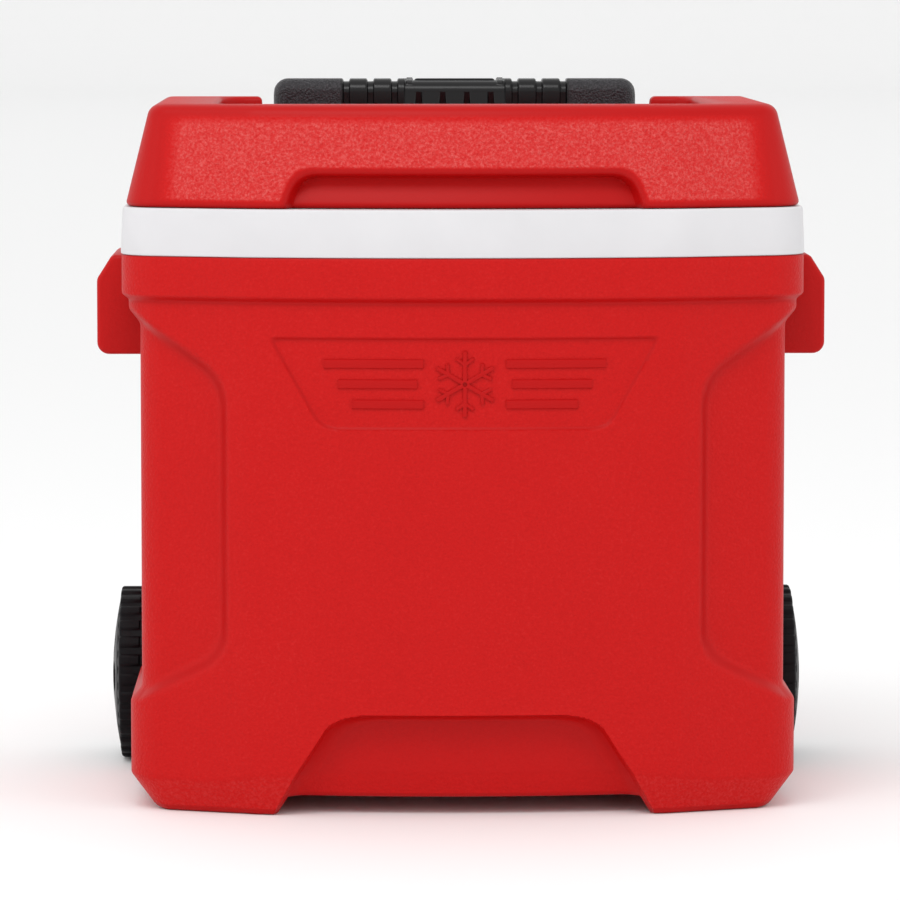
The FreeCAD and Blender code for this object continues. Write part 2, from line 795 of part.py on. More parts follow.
def lid_moulding(label, skin, low):
    """The lid's outer form moved inward by a skin."""
    body = new_body(f"{label}_form")
    outline = outline_sketch(body, PLAN, [plan(f"(Sizes.lid_inset + {skin})")], low)
    pad(body, outline, f"Sizes.lid_top - {skin} - ({low})", draft="-Sizes.lid_draft")
    tray = outline_sketch(body, PLAN, [tray_outline(skin)], f"Sizes.tray_z - {skin}")
    pocket(body, tray, 60, reverse=True)
    scoop_face = f"Sizes.depth_half - Sizes.lid_inset - Sizes.scoop_depth - {skin}"
    scoop = outline_sketch(body, FACE, [scoop_outline(skin)], scoop_face)
    pocket(body, scoop, 60, reverse=True)
    return body


def make_lid(holes):
    """The lid's red shell, its white liner that plugs the compartment, and the foam inside."""
    outside = lid_moulding("lid_outside", 0, cell("lid_bottom"))
    hollow = lid_moulding("lid_hollow", cell("wall"), cell("lid_bottom"))
    keep(cut("lid_shell", outside, hollow, *holes["hinge_leaf"]))

    liner = new_body("lid_liner")
    plate_low = "(Sizes.lid_bottom + 0.2)"
    plate_inset = "(Sizes.lid_inset + Sizes.wall + 1)"
    plate = outline_sketch(liner, PLAN, [plan(plate_inset)], plate_low)
    pad(liner, plate, cell("liner_wall"))
    plug_low = "(Sizes.band_top - Sizes.plug_depth)"
    plug = outline_sketch(liner, PLAN, [compartment(cell("plug_gap"))], plug_low)
    pad(liner, plug, "Sizes.plug_depth + Sizes.liner_wall")
    pan = outline_sketch(liner, PLAN, [compartment("(Sizes.plug_gap + Sizes.liner_wall)")],
                         f"{plug_low} + Sizes.liner_wall")
    pocket(liner, pan, "Sizes.plug_depth + 5", reverse=True)
    scoop_face = "Sizes.depth_half - Sizes.lid_inset - Sizes.scoop_depth - Sizes.wall"
    scoop = outline_sketch(liner, FACE, [scoop_outline(cell("wall"))], scoop_face)
    pocket(liner, scoop, 60, reverse=True)
    keep(liner)

    below_plate = plan_slab("below_plate", 0, "Sizes.body_top", f"{plate_low} + Sizes.liner_wall")
    upper = cut("lid_foam_upper", lid_moulding("lid_foam", cell("wall"), cell("lid_bottom")), below_plate)
    lower = new_body("lid_foam_plug")
    outline = outline_sketch(lower, PLAN, [compartment("(Sizes.plug_gap + Sizes.liner_wall)")],
                             f"{plug_low} + Sizes.liner_wall")
    pad(lower, outline, "Sizes.plug_depth + 1")
    keep(cut("lid_foam", fuse("lid_foam_form", upper, lower), *holes["hinge_leaf"]))


def sector(label, corners, x_low, x_high):
    """An outline seen from the side, as a solid between two values of X."""
    body = new_body(label)
    sketch = outline_sketch(body, SIDE, [corners], x_low)
    pad(body, sketch, f"({x_high}) - ({x_low})")
    return body


def make_hinges(holes):
    """Two hinges: a leaf on the rim band, a leaf on the lid, and the pin that joins them."""
    left_x = "(Sizes.hinge_x - Sizes.hinge_width / 2)"
    right_x = "(Sizes.hinge_x + Sizes.hinge_width / 2)"
    knuckle = "(Sizes.hinge_width / 3)"
    bore = "(Sizes.hinge_pin_radius + Sizes.fit_gap)"
    rim_face = "Sizes.rear_y"
    base_profile = [
        corner(rim_face, "Sizes.hinge_z - Sizes.base_leaf_drop"),
        corner(f"{rim_face} + Sizes.leaf_thickness", "Sizes.hinge_z - Sizes.base_leaf_drop"),
        corner("Sizes.hinge_y + Sizes.leaf_thickness", "Sizes.hinge_z - 8"),
        corner("Sizes.hinge_y + Sizes.leaf_thickness", "Sizes.hinge_z"),
        corner("Sizes.hinge_y", "Sizes.hinge_z"),
        corner(rim_face, "Sizes.hinge_z - 3.5"),
    ]
    lid_rear = "(Sizes.rear_y - Sizes.lid_inset)"
    plate_low = "Sizes.lid_bottom + Sizes.leaf_low"
    plate_top = "Sizes.lid_bottom + Sizes.leaf_high"
    low_y = f"{lid_rear} - Sizes.leaf_low * {LID_SLOPE}"
    top_y = f"{lid_rear} - Sizes.leaf_high * {LID_SLOPE}"
    lid_profile = [
        corner(f"{lid_rear} - 4.4 * {LID_SLOPE}", "Sizes.lid_bottom + 4.4"),
        corner("Sizes.hinge_y", "Sizes.hinge_z"),
        corner("Sizes.hinge_y + 1", "Sizes.hinge_z + 3"),
        corner(f"{top_y} + Sizes.leaf_thickness", plate_top),
        corner(top_y, plate_top),
    ]
    barrel = ("Sizes.hinge_y", "Sizes.hinge_z", "x")
    middle_low = f"({left_x} + {knuckle} + Sizes.barrel_gap)"
    middle_high = f"({right_x} - {knuckle} - Sizes.barrel_gap)"
    leaf = sector("hinge_base_leaf", base_profile, left_x, right_x)
    barrels = cylinder("hinge_base_barrel", "Sizes.knuckle_radius", "Sizes.hinge_width", left_x, *barrel)
    gap = cylinder("hinge_base_gap", "Sizes.knuckle_radius + 0.6", f"{knuckle}", f"{left_x} + {knuckle}",
                   *barrel)
    base_bore = cylinder("hinge_base_bore", "Sizes.hinge_pin_radius", 60, "Sizes.hinge_x - 30", *barrel)
    base = cut("hinge_base_right", fuse("hinge_base_form", leaf, barrels), gap, base_bore,
               *holes["hinge_base"])
    lid_leaf = sector("hinge_lid_leaf", lid_profile, middle_low, middle_high)
    plate = sector("hinge_lid_plate", [
        corner(low_y, plate_low),
        corner(f"{low_y} + Sizes.leaf_thickness", plate_low),
        corner(f"{top_y} + Sizes.leaf_thickness", plate_top),
        corner(top_y, plate_top),
    ], left_x, right_x)
    lid_barrel = cylinder("hinge_lid_barrel", "Sizes.knuckle_radius", f"{middle_high} - {middle_low}",
                          middle_low, *barrel)
    lid_bore = cylinder("hinge_lid_bore", bore, 60, "Sizes.hinge_x - 30", *barrel)
    lid_side = cut("hinge_leaf_right", fuse("hinge_leaf_form", lid_leaf, plate, lid_barrel), lid_bore,
                   *holes["hinge_leaf"])
    pin = cylinder("hinge_pin_right", "Sizes.hinge_pin_radius", "Sizes.hinge_width", left_x, *barrel)
    for part in (base, lid_side, pin):
        keep(part)
        keep(mirror(part.Label.replace("right", "left"), part))


# ---------------------------------------------------------------- wheels

WINDOWS = 6
LUGS = 28

def make_wheels():
    """Each wheel is a black hub with a web, and a soft tyre with blocky tread, on one steel axle."""
    bore = "(Sizes.axle_radius + Sizes.fit_gap)"
    width = "(Sizes.wheel_outer - Sizes.wheel_inner)"
    axle_half = "(Sizes.wheel_outer - 4)"
    seat = f"({width} - Sizes.seat_depth)"
    seat_radius = "(Sizes.hub_radius - Sizes.seat_wall)"
    web = f"({width} - Sizes.web_depth)"
    rim_edge = f"({width} - Sizes.dome_at_rim)"
    at_wheel = ("Sizes.wheel_y", "Sizes.wheel_radius")
    hub = new_body("hub_right")
    profile = [
        corner(0, bore),
        corner(seat, bore),
        corner(seat, seat_radius),
        corner(f"{width} - 0.2", seat_radius, bow=cell("dome_radius")),
        corner(rim_edge, "Sizes.rim_radius"),
        corner(2, "Sizes.rim_radius"),
        corner(2, "Sizes.rim_radius - 3"),
        corner(web, "Sizes.rim_radius - 5"),
        corner(web, "Sizes.hub_radius + 1"),
        corner(0, "Sizes.hub_radius"),
    ]
    revolve(hub, outline_sketch(hub, FACE, [profile]), "X_Axis")
    window_place = "(Sizes.hub_radius + Sizes.rim_radius) / 2 - 1"
    hole = circle_sketch(hub, SIDE, [(window_place, 0, cell("window_radius"))])
    polar(hub, pocket(hub, hole, BEYOND, both_ways=True), "X_Axis", WINDOWS)
    place(hub, "Sizes.wheel_inner", *at_wheel)

    tyre = new_body("tyre_right")
    shoulder = "(Sizes.wheel_radius - Sizes.shoulder_height)"
    tread_edge = f"({width} - Sizes.dome_at_tread)"
    section = [
        corner(1, "Sizes.rim_radius"),
        corner(rim_edge, "Sizes.rim_radius"),
        corner(f"{tread_edge} + 0.2", f"{shoulder} - 2"),
        corner(tread_edge, f"{shoulder} - 1.8"),
        corner(tread_edge, "Sizes.wheel_radius", 2),
        corner(3, "Sizes.wheel_radius", 2),
        corner(1, shoulder),
    ]
    revolve(tyre, outline_sketch(tyre, FACE, [section]), "X_Axis")
    gap = cell("lug_gap_half")
    groove_end = f"{tread_edge} - 3"
    groove = outline_sketch(tyre, PLAN, [[
        corner(-2, f"-{gap}"),
        corner(groove_end, f"-{gap}"),
        corner(groove_end, gap),
        corner(-2, gap),
    ]], "Sizes.wheel_radius - Sizes.tread_depth")
    polar(tyre, pocket(tyre, groove, 10, reverse=True), "X_Axis", LUGS)
    place(tyre, "Sizes.wheel_inner", *at_wheel)

    washer = tube("axle_washer_right", cell("washer_radius"), "Sizes.axle_radius", cell("washer_width"),
                  "Sizes.wheel_inner - 2", *at_wheel, "x")
    cap_low = "(Sizes.wheel_outer - Sizes.cap_width - Sizes.cap_gap)"
    cap_solid = cylinder("axle_cap_solid", f"{seat_radius} - 0.7", cell("cap_width"), cap_low,
                         *at_wheel, "x")
    cap_bore = cylinder("axle_cap_bore", "Sizes.axle_radius", f"{axle_half} - {cap_low}", cap_low,
                        *at_wheel, "x")
    cap = cut("axle_cap_right", cap_solid, cap_bore)
    sleeve_bore = "(Sizes.sleeve_radius - Sizes.sleeve_wall)"
    flange = tube("axle_bush_flange", cell("bush_radius"), "Sizes.axle_radius",
                  "Sizes.wheel_inner - 2.4 - Sizes.well_x", "Sizes.well_x", *at_wheel, "x")
    spigot = tube("axle_bush_spigot", sleeve_bore, "Sizes.axle_radius", cell("bush_length"),
                  "Sizes.well_x - Sizes.bush_length", *at_wheel, "x")
    bush = fuse("axle_bush_right", flange, spigot)
    for part in (hub, tyre, washer, cap, bush):
        keep(part)
        keep(mirror(part.Label.replace("right", "left"), part))

    keep(cylinder("axle", "Sizes.axle_radius", f"2 * {axle_half}", f"-{axle_half}", *at_wheel, "x"))
    keep(tube("axle_sleeve", "Sizes.sleeve_radius", sleeve_bore, "2 * Sizes.well_x", "-Sizes.well_x",
              *at_wheel, "x"))


# ---------------------------------------------------------------- telescoping tow handle


def bracket(label, holes):
    """A moulded bracket that holds both fixed tubes off the cooler's back wall."""
    low, high = BRACKETS[label]
    reach = "(Sizes.tube_x + Sizes.bracket_half)"
    pieces = [
        block(f"{label}_plate", (f"-{reach}", reach), (BACK_WALL, f"{BACK_WALL} + Sizes.bracket_plate"),
              (low, high)),
        block(f"{label}_shelf", ("-Sizes.tube_x", "Sizes.tube_x"),
              (f"{BACK_WALL} + 1", "Sizes.tube_y - 4"), (low, f"{low} + 3")),
    ]
    bores = []
    for side in ("", "-"):
        middle = f"({side}Sizes.tube_x)"
        web = (f"{middle} - Sizes.bracket_web_half", f"{middle} + Sizes.bracket_web_half")
        pieces.append(block(f"{label}_web", web, (f"{BACK_WALL} + 1", "Sizes.tube_y"), (low, high)))
        pieces.append(cylinder(f"{label}_ring", "Sizes.outer_tube_radius + Sizes.ring_wall",
                               f"({high}) - ({low})", middle, "Sizes.tube_y", low))
        bores.append(cylinder(f"{label}_bore", "Sizes.outer_tube_radius", f"({high}) - ({low}) + 2",
                              middle, "Sizes.tube_y", f"{low} - 1"))
    keep(cut(label, fuse(f"{label}_form", *pieces), *bores, *holes[label]))


def pin_slot(label, low):
    """The slot in the outer side of a tube in which the next tube's stop pin runs along the travel."""
    half = "(Sizes.pin_radius + Sizes.slot_gap)"
    high = f"{low} + Sizes.travel"
    reach = cell("slot_reach")
    ends = [cylinder(f"{label}_slot_end", half, reach, 0, 0, level, "x") for level in (low, high)]
    return [*ends, block(f"{label}_slot", (0, reach), (f"-{half}", half), (low, high))]


def stage(label, radius, bore, low, top, pin_level=None):
    """One tube of the handle, with the slot for the next tube's stop pin, centred on its own axis."""
    wall = tube(f"{label}_pipe", radius, bore, f"({top}) - ({low})", 0, 0, low)
    if pin_level:
        return cut(label, wall, *pin_slot(label, pin_level))
    wall.Label = label
    return wall


def guide_foot(label, flange_radius, spigot_radius, low, pin_z):
    """The guide plug on a sliding tube's lower end, bored for its lock pin and the push rod."""
    body = new_body(label)
    section = [
        corner("(Sizes.rod_radius + 0.3)", low),
        corner(flange_radius, low, 0.5),
        corner(flange_radius, f"{low} + Sizes.guide_flange", 0.5),
        corner(spigot_radius, f"{low} + Sizes.guide_flange"),
        corner(spigot_radius, f"{low} + Sizes.guide_length"),
        corner("(Sizes.rod_radius + 0.3)", f"{low} + Sizes.guide_length"),
    ]
    revolve(body, outline_sketch(body, FACE, [section]), "Z_Axis")
    hole = circle_sketch(body, SIDE, [(0, pin_z, "Sizes.pin_radius + Sizes.fit_gap / 2")])
    pocket(body, hole, flange_radius, reverse=True)
    return body


def lock_pin(label, tip, level):
    """A round-nosed stop pin that stands out of its guide plug, into the slot of the tube around it."""
    body = new_body(label)
    section = [
        corner(f"{tip} - Sizes.pin_length", 0),
        corner(tip, 0),
        corner(tip, "Sizes.pin_radius", 0.6),
        corner(f"{tip} - Sizes.pin_length", "Sizes.pin_radius"),
    ]
    revolve(body, outline_sketch(body, FACE, [section]), "X_Axis")
    return place(body, 0, 0, level)


def collar(label, outer, over, bore, low, step, top):
    """The guide collar pressed over a tube's upper end, in which the next tube slides."""
    body = new_body(label)
    section = [
        corner(over, low),
        corner(outer, low),
        corner(outer, f"{top} - 1.5"),
        corner(f"{outer} - 1.5", top),
        corner(bore, top),
        corner(bore, step),
        corner(over, step),
    ]
    revolve(body, outline_sketch(body, FACE, [section]), "Z_Axis")
    return body


def both_tubes(obj):
    """Sets a piece that was made on the tube's own axis behind the cooler, once on each side."""
    right = group(f"{obj.Label}_right", obj)
    place(right, "Sizes.tube_x", "Sizes.tube_y")
    keep(right)
    keep(mirror(f"{obj.Label}_left", right))


def make_tubes():
    """Both sides' three nested tubes with their collars, guide plugs, lock pins and end plugs."""
    both_tubes(stage("outer_tube", "Sizes.outer_tube_radius", "Sizes.outer_tube_bore",
                     "Sizes.outer_tube_low", "Sizes.outer_tube_top", "Sizes.mid_pin_z"))
    both_tubes(stage("mid_tube", "Sizes.mid_tube_radius", "Sizes.mid_tube_bore",
                     "Sizes.mid_tube_low", "Sizes.mid_tube_top", "Sizes.inner_pin_z"))
    both_tubes(stage("inner_tube", "Sizes.inner_tube_radius", "Sizes.inner_tube_bore",
                     "Sizes.inner_tube_low", "Sizes.inner_tube_top"))
    both_tubes(collar("outer_collar", "Sizes.outer_tube_radius + 2.2", "Sizes.outer_tube_radius",
                      "Sizes.mid_tube_radius + Sizes.fit_gap", "Sizes.outer_tube_top - 10",
                      "Sizes.outer_tube_top", "Sizes.outer_tube_top + 5"))
    both_tubes(collar("mid_collar", "Sizes.mid_tube_radius + 2", "Sizes.mid_tube_radius",
                      "Sizes.inner_tube_radius + Sizes.fit_gap", "Sizes.mid_tube_top - 6",
                      "Sizes.mid_tube_top", "Sizes.mid_tube_top + 6"))
    both_tubes(guide_foot("mid_guide", "Sizes.outer_tube_bore - Sizes.fit_gap", "Sizes.mid_tube_bore",
                          "Sizes.mid_tube_low - Sizes.guide_flange", "Sizes.mid_pin_z"))
    both_tubes(guide_foot("inner_guide", "Sizes.mid_tube_bore - Sizes.fit_gap", "Sizes.inner_tube_bore",
                          "Sizes.inner_tube_low - Sizes.guide_flange", "Sizes.inner_pin_z"))
    both_tubes(lock_pin("mid_lock_pin", "Sizes.outer_tube_radius - 0.4", "Sizes.mid_pin_z"))
    both_tubes(lock_pin("inner_lock_pin", "Sizes.mid_tube_radius", "Sizes.inner_pin_z"))
    end_plug = fuse("tube_end", cylinder("tube_end_head", "Sizes.outer_tube_radius", 3, 0, 0,
                                         "Sizes.outer_tube_low - 3"),
                    cylinder("tube_end_spigot", "Sizes.outer_tube_bore", 3, 0, 0, "Sizes.outer_tube_low"))
    end_plug.Label = "tube_end_plug"
    both_tubes(end_plug)


def grip_outline(inset):
    """The tow grip seen from the front: a long bar with rounded ends."""
    half = f"(Sizes.grip_half - {inset})"
    low = f"(Sizes.grip_low + {inset})"
    top = f"(Sizes.grip_top - {inset})"
    radius = f"(Sizes.grip_corner - {inset})"
    return [
        corner(f"-{half}", low, radius),
        corner(half, low, radius),
        corner(half, top, radius),
        corner(f"-{half}", top, radius),
    ]


GROOVES = 10


def make_grip():
    """The tow grip's two shells, its screws, and the button with the rods and springs below it."""
    wall = cell("wall")
    bar = new_body("grip_bar")
    outline = outline_sketch(bar, FACE, [grip_outline(0)])
    pad(bar, outline, cell("grip_depth"), both_ways=True)
    round_edges(bar, cell("grip_edge"), lambda edge: abs(edge.BoundBox.YLength) < 0.01)
    place(bar, 0, "Sizes.tube_y")
    room = new_body("grip_room")
    outline = outline_sketch(room, FACE, [grip_outline(wall)])
    pad(room, outline, "Sizes.grip_depth - 2 * Sizes.wall", both_ways=True)
    place(room, 0, "Sizes.tube_y")
    slot_half = "(Sizes.button_half + Sizes.button_gap)"
    slot_y = "(Sizes.button_y_half + Sizes.button_gap)"
    slot = block("button_slot", (f"-{slot_half}", slot_half),
                 (f"Sizes.tube_y - {slot_y}", f"Sizes.tube_y + {slot_y}"),
                 ("Sizes.grip_top - 5", "Sizes.grip_top + 5"))
    openings = [slot]
    for side in ("", "-"):
        openings.append(cylinder("grip_tube_hole", "Sizes.inner_tube_radius", 6, f"({side}Sizes.tube_x)",
                                 "Sizes.tube_y", "Sizes.grip_low - 1"))
    for step in range(GROOVES):
        offset = f"Sizes.groove_pitch * ({step} - {(GROOVES - 1) / 2})"
        groove = cylinder("finger_groove", cell("groove_radius"), 40, offset,
                          "Sizes.tube_y - Sizes.grip_depth / 2 - 1", "Sizes.grip_low - 1")
        openings.append(groove)
    hollow_bar = cut("grip_hollow_bar", bar, room, *openings)

    screws = []
    holes = []
    bosses = []
    level = "(Sizes.grip_low + Sizes.boss_rise)"
    head_y = "Sizes.tube_y + Sizes.grip_depth / 2 - Sizes.grip_head_sink"
    tip_y = "Sizes.tube_y - Sizes.grip_depth / 2 + 5"
    shank_length = "Sizes.grip_depth - 7"
    for x in ("-Sizes.tube_x - 14", "-Sizes.tube_x + 24", "Sizes.tube_x - 24", "Sizes.tube_x + 14"):
        bosses.append(tube("grip_boss", cell("boss_radius"), "Sizes.screw_radius", "Sizes.grip_depth - 6",
                           x, "Sizes.tube_y - Sizes.grip_depth / 2 + 3", level, "y"))
        head = cylinder("grip_screw_head", cell("grip_head_radius"), 1.8, x, head_y, level, "y")
        shank = cylinder("grip_screw_shank", "Sizes.screw_radius", shank_length, x, tip_y, level, "y")
        screws.append(fuse("grip_screw", head, shank))
        holes.append(cylinder("grip_screw_sink", cell("grip_head_radius"), 4, x, head_y, level, "y"))
        holes.append(cylinder("grip_screw_hole", "Sizes.screw_radius", shank_length, x, tip_y, level, "y"))
    whole = cut("grip_whole", fuse("grip_with_bosses", hollow_bar, *bosses), *holes)
    reach = ("-Sizes.side_x", "Sizes.side_x")
    levels = ("Sizes.grip_low - 10", "Sizes.grip_top + 10")
    keep(cut("grip_front", whole, block("rear_half", reach, ("Sizes.tube_y", "Sizes.tube_y + 40"), levels)))
    keep(cut("grip_rear", whole, block("front_half", reach, ("Sizes.tube_y - 40", "Sizes.tube_y"), levels)))
    keep(group("grip_screws", *screws))

    cap = block("button_cap", ("-Sizes.button_half", "Sizes.button_half"),
                ("Sizes.tube_y - Sizes.button_y_half", "Sizes.tube_y + Sizes.button_y_half"),
                ("Sizes.grip_top - Sizes.crossbar_top - Sizes.weld", "Sizes.grip_top"))
    cross = block("button_crossbar", ("-(Sizes.tube_x + 4)", "Sizes.tube_x + 4"),
                  ("Sizes.tube_y - Sizes.crossbar_y_half", "Sizes.tube_y + Sizes.crossbar_y_half"),
                  ("Sizes.grip_top - Sizes.crossbar_low", "Sizes.grip_top - Sizes.crossbar_top"))
    keep(fuse("grip_button", cap, cross))
    rod_low = "(Sizes.inner_pin_z + 7)"
    rod_top = "(Sizes.grip_top - Sizes.crossbar_low)"
    rod = cylinder("push_rod_right", "Sizes.rod_radius", f"{rod_top} - {rod_low}",
                   "Sizes.tube_x", "Sizes.tube_y", rod_low)
    keep(rod)
    keep(mirror("push_rod_left", rod))
    spring = button_spring("button_spring_right", 38)
    keep(spring)
    keep(mirror("button_spring_left", spring))


def button_spring(label, x):
    """A small coil spring between the grip's floor and the button's crossbar."""
    wire = 0.45
    radius = 2.4
    low = value("Sizes.grip_low + Sizes.wall") + wire
    height = value("Sizes.grip_top - Sizes.crossbar_low") - wire - low
    coil = Part.makeHelix(height / 4, height, radius)
    start = coil.Vertexes[0].Point
    ring = Part.Wire([Part.Circle(start, VECTOR(0, 1, 0), wire).toShape()])
    sweep = Part.Wire(coil.Edges).makePipeShell([ring], True, True)
    spring = doc.addObject("Part::Feature", label)
    spring.Label = label
    spring.Shape = sweep
    spring.Placement = FreeCAD.Placement(VECTOR(x, value("Sizes.tube_y"), low), FreeCAD.Rotation())
    return spring


def make_tow_handle(holes):
    """The telescoping tow handle behind the cooler."""
    for label in BRACKETS:
        bracket(label, holes)
    make_tubes()
    make_grip()


# ---------------------------------------------------------------- output


def check_and_write():
    """Stops on any failed object or bad sub-part, then writes one STEP file for each sub-part."""
    doc.recompute()
    for obj in doc.Objects:
        if "Invalid" in obj.State or "Error" in obj.State:
            raise RuntimeError(f"{obj.Label} failed: {obj.State}")
    for part in subparts:
        if part.Shape.isNull() or not part.Shape.isValid() or not part.Shape.Solids:
            raise RuntimeError(f"{part.Label} has no valid solid")
    os.makedirs("parts", exist_ok=True)
    for part in subparts:
        part.Shape.exportStep(f"parts/{part.Label}.step")
    print(f"{len(subparts)} sub-parts written")


screw_holes = make_screws()
make_body(screw_holes)
make_lid(screw_holes)
make_hinges(screw_holes)
make_wheels()
make_tow_handle(screw_holes)
check_and_write()
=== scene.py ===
import math

import bmesh
import bpy
import numpy as np
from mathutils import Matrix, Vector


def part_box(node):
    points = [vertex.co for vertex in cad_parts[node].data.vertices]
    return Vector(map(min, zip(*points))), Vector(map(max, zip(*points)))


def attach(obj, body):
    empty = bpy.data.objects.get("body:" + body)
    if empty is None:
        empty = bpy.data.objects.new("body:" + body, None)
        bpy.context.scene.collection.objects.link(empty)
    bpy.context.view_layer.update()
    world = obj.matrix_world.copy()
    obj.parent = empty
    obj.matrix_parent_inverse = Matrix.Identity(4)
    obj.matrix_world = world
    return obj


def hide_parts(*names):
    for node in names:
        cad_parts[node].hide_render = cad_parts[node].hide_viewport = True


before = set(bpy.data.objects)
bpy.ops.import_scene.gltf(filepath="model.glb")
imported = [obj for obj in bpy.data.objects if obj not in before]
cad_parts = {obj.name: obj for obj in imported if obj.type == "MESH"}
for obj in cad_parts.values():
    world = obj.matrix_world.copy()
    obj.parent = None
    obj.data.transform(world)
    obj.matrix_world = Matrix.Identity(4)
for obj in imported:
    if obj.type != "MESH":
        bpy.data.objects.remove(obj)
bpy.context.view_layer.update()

# The looks of the wheeled cooler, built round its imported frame. Lengths are millimetres, +X is the
# cooler's right side seen from the front, the front faces -Y and +Z is up.

MM = 0.001


def node_box(node):
    """The lowest and highest corner of a CAD node, in millimetres."""
    low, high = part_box(node)
    return np.array(low) / MM, np.array(high) / MM


# ---------------------------------------------------------------- sizes

BAND_LOW, BAND_HIGH = node_box("inner_liner")
_, SHELL_HIGH = node_box("outer_shell")
LID_LOW, LID_HIGH = node_box("lid_shell")
TYRE_LOW, TYRE_HIGH = node_box("tyre_right")
_, HUB_HIGH = node_box("hub_right")
GRIP_LOW, GRIP_HIGH = node_box("grip_front")
CAP_LOW, CAP_HIGH = node_box("grip_button")

SIDE_X = BAND_HIGH[0]
FRONT_Y = BAND_LOW[1]
REAR_Y = BAND_HIGH[1]
BAND_TOP = BAND_HIGH[2]
BODY_TOP = SHELL_HIGH[2]
LID_BOTTOM = LID_LOW[2]
LID_TOP = LID_HIGH[2]
HANDLE_SETBACK = 1.5      # the carry handles' faces stand this far inside the shell's widest place
HANDLE_X = SHELL_HIGH[0] - HANDLE_SETBACK
WHEEL_Y = (TYRE_LOW[1] + TYRE_HIGH[1]) / 2
WHEEL_RADIUS = (TYRE_HIGH[2] - TYRE_LOW[2]) / 2
WHEEL_INNER = TYRE_LOW[0] - 1
WHEEL_WIDTH = HUB_HIGH[0] + 0.2 - WHEEL_INNER
DOME_RADIUS = 214

BOW_X = 125
BOW_RADIUS = 650
CHEEK_ANGLE = math.atan(0.347)
FRONT_CORNER = 30
REAR_CORNER = 25
KEEL_Z = 10
COLLAR_Z = 298
COLLAR_INSET = 0.5
WALL_INSET = 4.5
RECESS_DEPTH = 6.5
CAVITY_X = 155
CAVITY_FRONT = -110
CAVITY_BACK = 93
CAVITY_CORNER = 34
CAVITY_FLOOR = 68
LID_INSET = 2.8
LID_DRAFT = math.radians(14)
TRAY_Z = 365
WELL_X = 163
WELL_RADIUS = 60
BLOCK_POINTS = 160

# ---------------------------------------------------------------- small mathematics


def ease(t):
    """A smooth climb from 0 to 1."""
    t = np.clip(t, 0, 1)
    return t * t * (3 - 2 * t)


def soft_min(a, b, radius):
    """The lesser of two fields, rounded where they meet."""
    share = np.clip(0.5 + 0.5 * (b - a) / radius, 0, 1)
    return b + (a - b) * share - radius * share * (1 - share)


def chamfer(t, rounding=0.22):
    """A straight climb from 0 to 1, a little rounded at both ends."""
    return soft_min(-soft_min(-t, 0 * t, rounding), 1 + 0 * t, rounding)


def spaced(*stops):
    """Positions along a line: a place, the spacing after it, the next place, and so on."""
    found = []
    for start, gap, end in zip(stops[0::2], stops[1::2], stops[2::2]):
        count = max(round(abs(end - start) / gap), 1)
        found.extend(start + (end - start) * np.arange(count) / count)
    return np.array(found + [stops[-1]], float)


def arc(centre, radius, first, last, steps):
    """Points of an arc, its angles in degrees."""
    angles = np.radians(np.linspace(first, last, steps + 1))
    return [(centre[0] + radius * math.cos(a), centre[1] + radius * math.sin(a)) for a in angles]


def walk(start, moves, stride=0.25):
    """Half an outline, walked from its front middle: distance, X, Y and outward normal at each stride."""
    x, y = start
    heading = 0.0
    distance = 0.0
    rows = [(0.0, x, y, 0.0, -1.0)]
    for length, turn in moves:
        count = max(int(length / stride), 1)
        for _ in range(count):
            middle = heading + turn / count / 2
            x += math.cos(middle) * length / count
            y += math.sin(middle) * length / count
            heading += turn / count
            distance += length / count
            rows.append((distance, x, y, math.sin(heading), -math.cos(heading)))
    return np.array(rows).T


def along(table, places, inset=0.0):
    """Points of an outline at signed distances from its front middle, moved inward by an inset."""
    side = np.where(places < 0, -1.0, 1.0)
    reach = np.abs(places)
    distance, x, y, normal_x, normal_y = table
    across = side * (np.interp(reach, distance, x) - inset * np.interp(reach, distance, normal_x))
    depth = np.interp(reach, distance, y) - inset * np.interp(reach, distance, normal_y)
    return across, depth


# ---------------------------------------------------------------- outlines

BOW_ANGLE = math.asin(BOW_X / BOW_RADIUS)
BOW_Y = FRONT_Y + BOW_RADIUS - math.sqrt(BOW_RADIUS ** 2 - BOW_X ** 2)
CORNER_Y = BOW_Y + (SIDE_X - BOW_X) * math.tan(CHEEK_ANGLE)
CORNER_TURN = math.pi / 2 - CHEEK_ANGLE
CORNER_TANGENT = FRONT_CORNER * math.tan(CORNER_TURN / 2)
CHEEK_LENGTH = (SIDE_X - BOW_X) / math.cos(CHEEK_ANGLE) - CORNER_TANGENT
SIDE_LENGTH = REAR_Y - REAR_CORNER - CORNER_Y - CORNER_TANGENT
KINK = 6
GUIDE = 92.5            # the column that follows the slanted edges of the front's mouldings

PLAN = walk((0.0, FRONT_Y), [
    (BOW_RADIUS * BOW_ANGLE - KINK / 2, BOW_ANGLE),
    (KINK, CHEEK_ANGLE - BOW_ANGLE),
    (CHEEK_LENGTH - KINK / 2, 0),
    (FRONT_CORNER * CORNER_TURN, CORNER_TURN),
    (SIDE_LENGTH, 0),
    (REAR_CORNER * math.pi / 2, math.pi / 2),
    (SIDE_X - REAR_CORNER, 0),
])
HALF_LENGTH = PLAN[0][-1]
FRONT_END = BOW_RADIUS * BOW_ANGLE + CHEEK_LENGTH
SIDE_START = FRONT_END + FRONT_CORNER * CORNER_TURN
SIDE_END = SIDE_START + SIDE_LENGTH
REAR_START = SIDE_END + REAR_CORNER * math.pi / 2


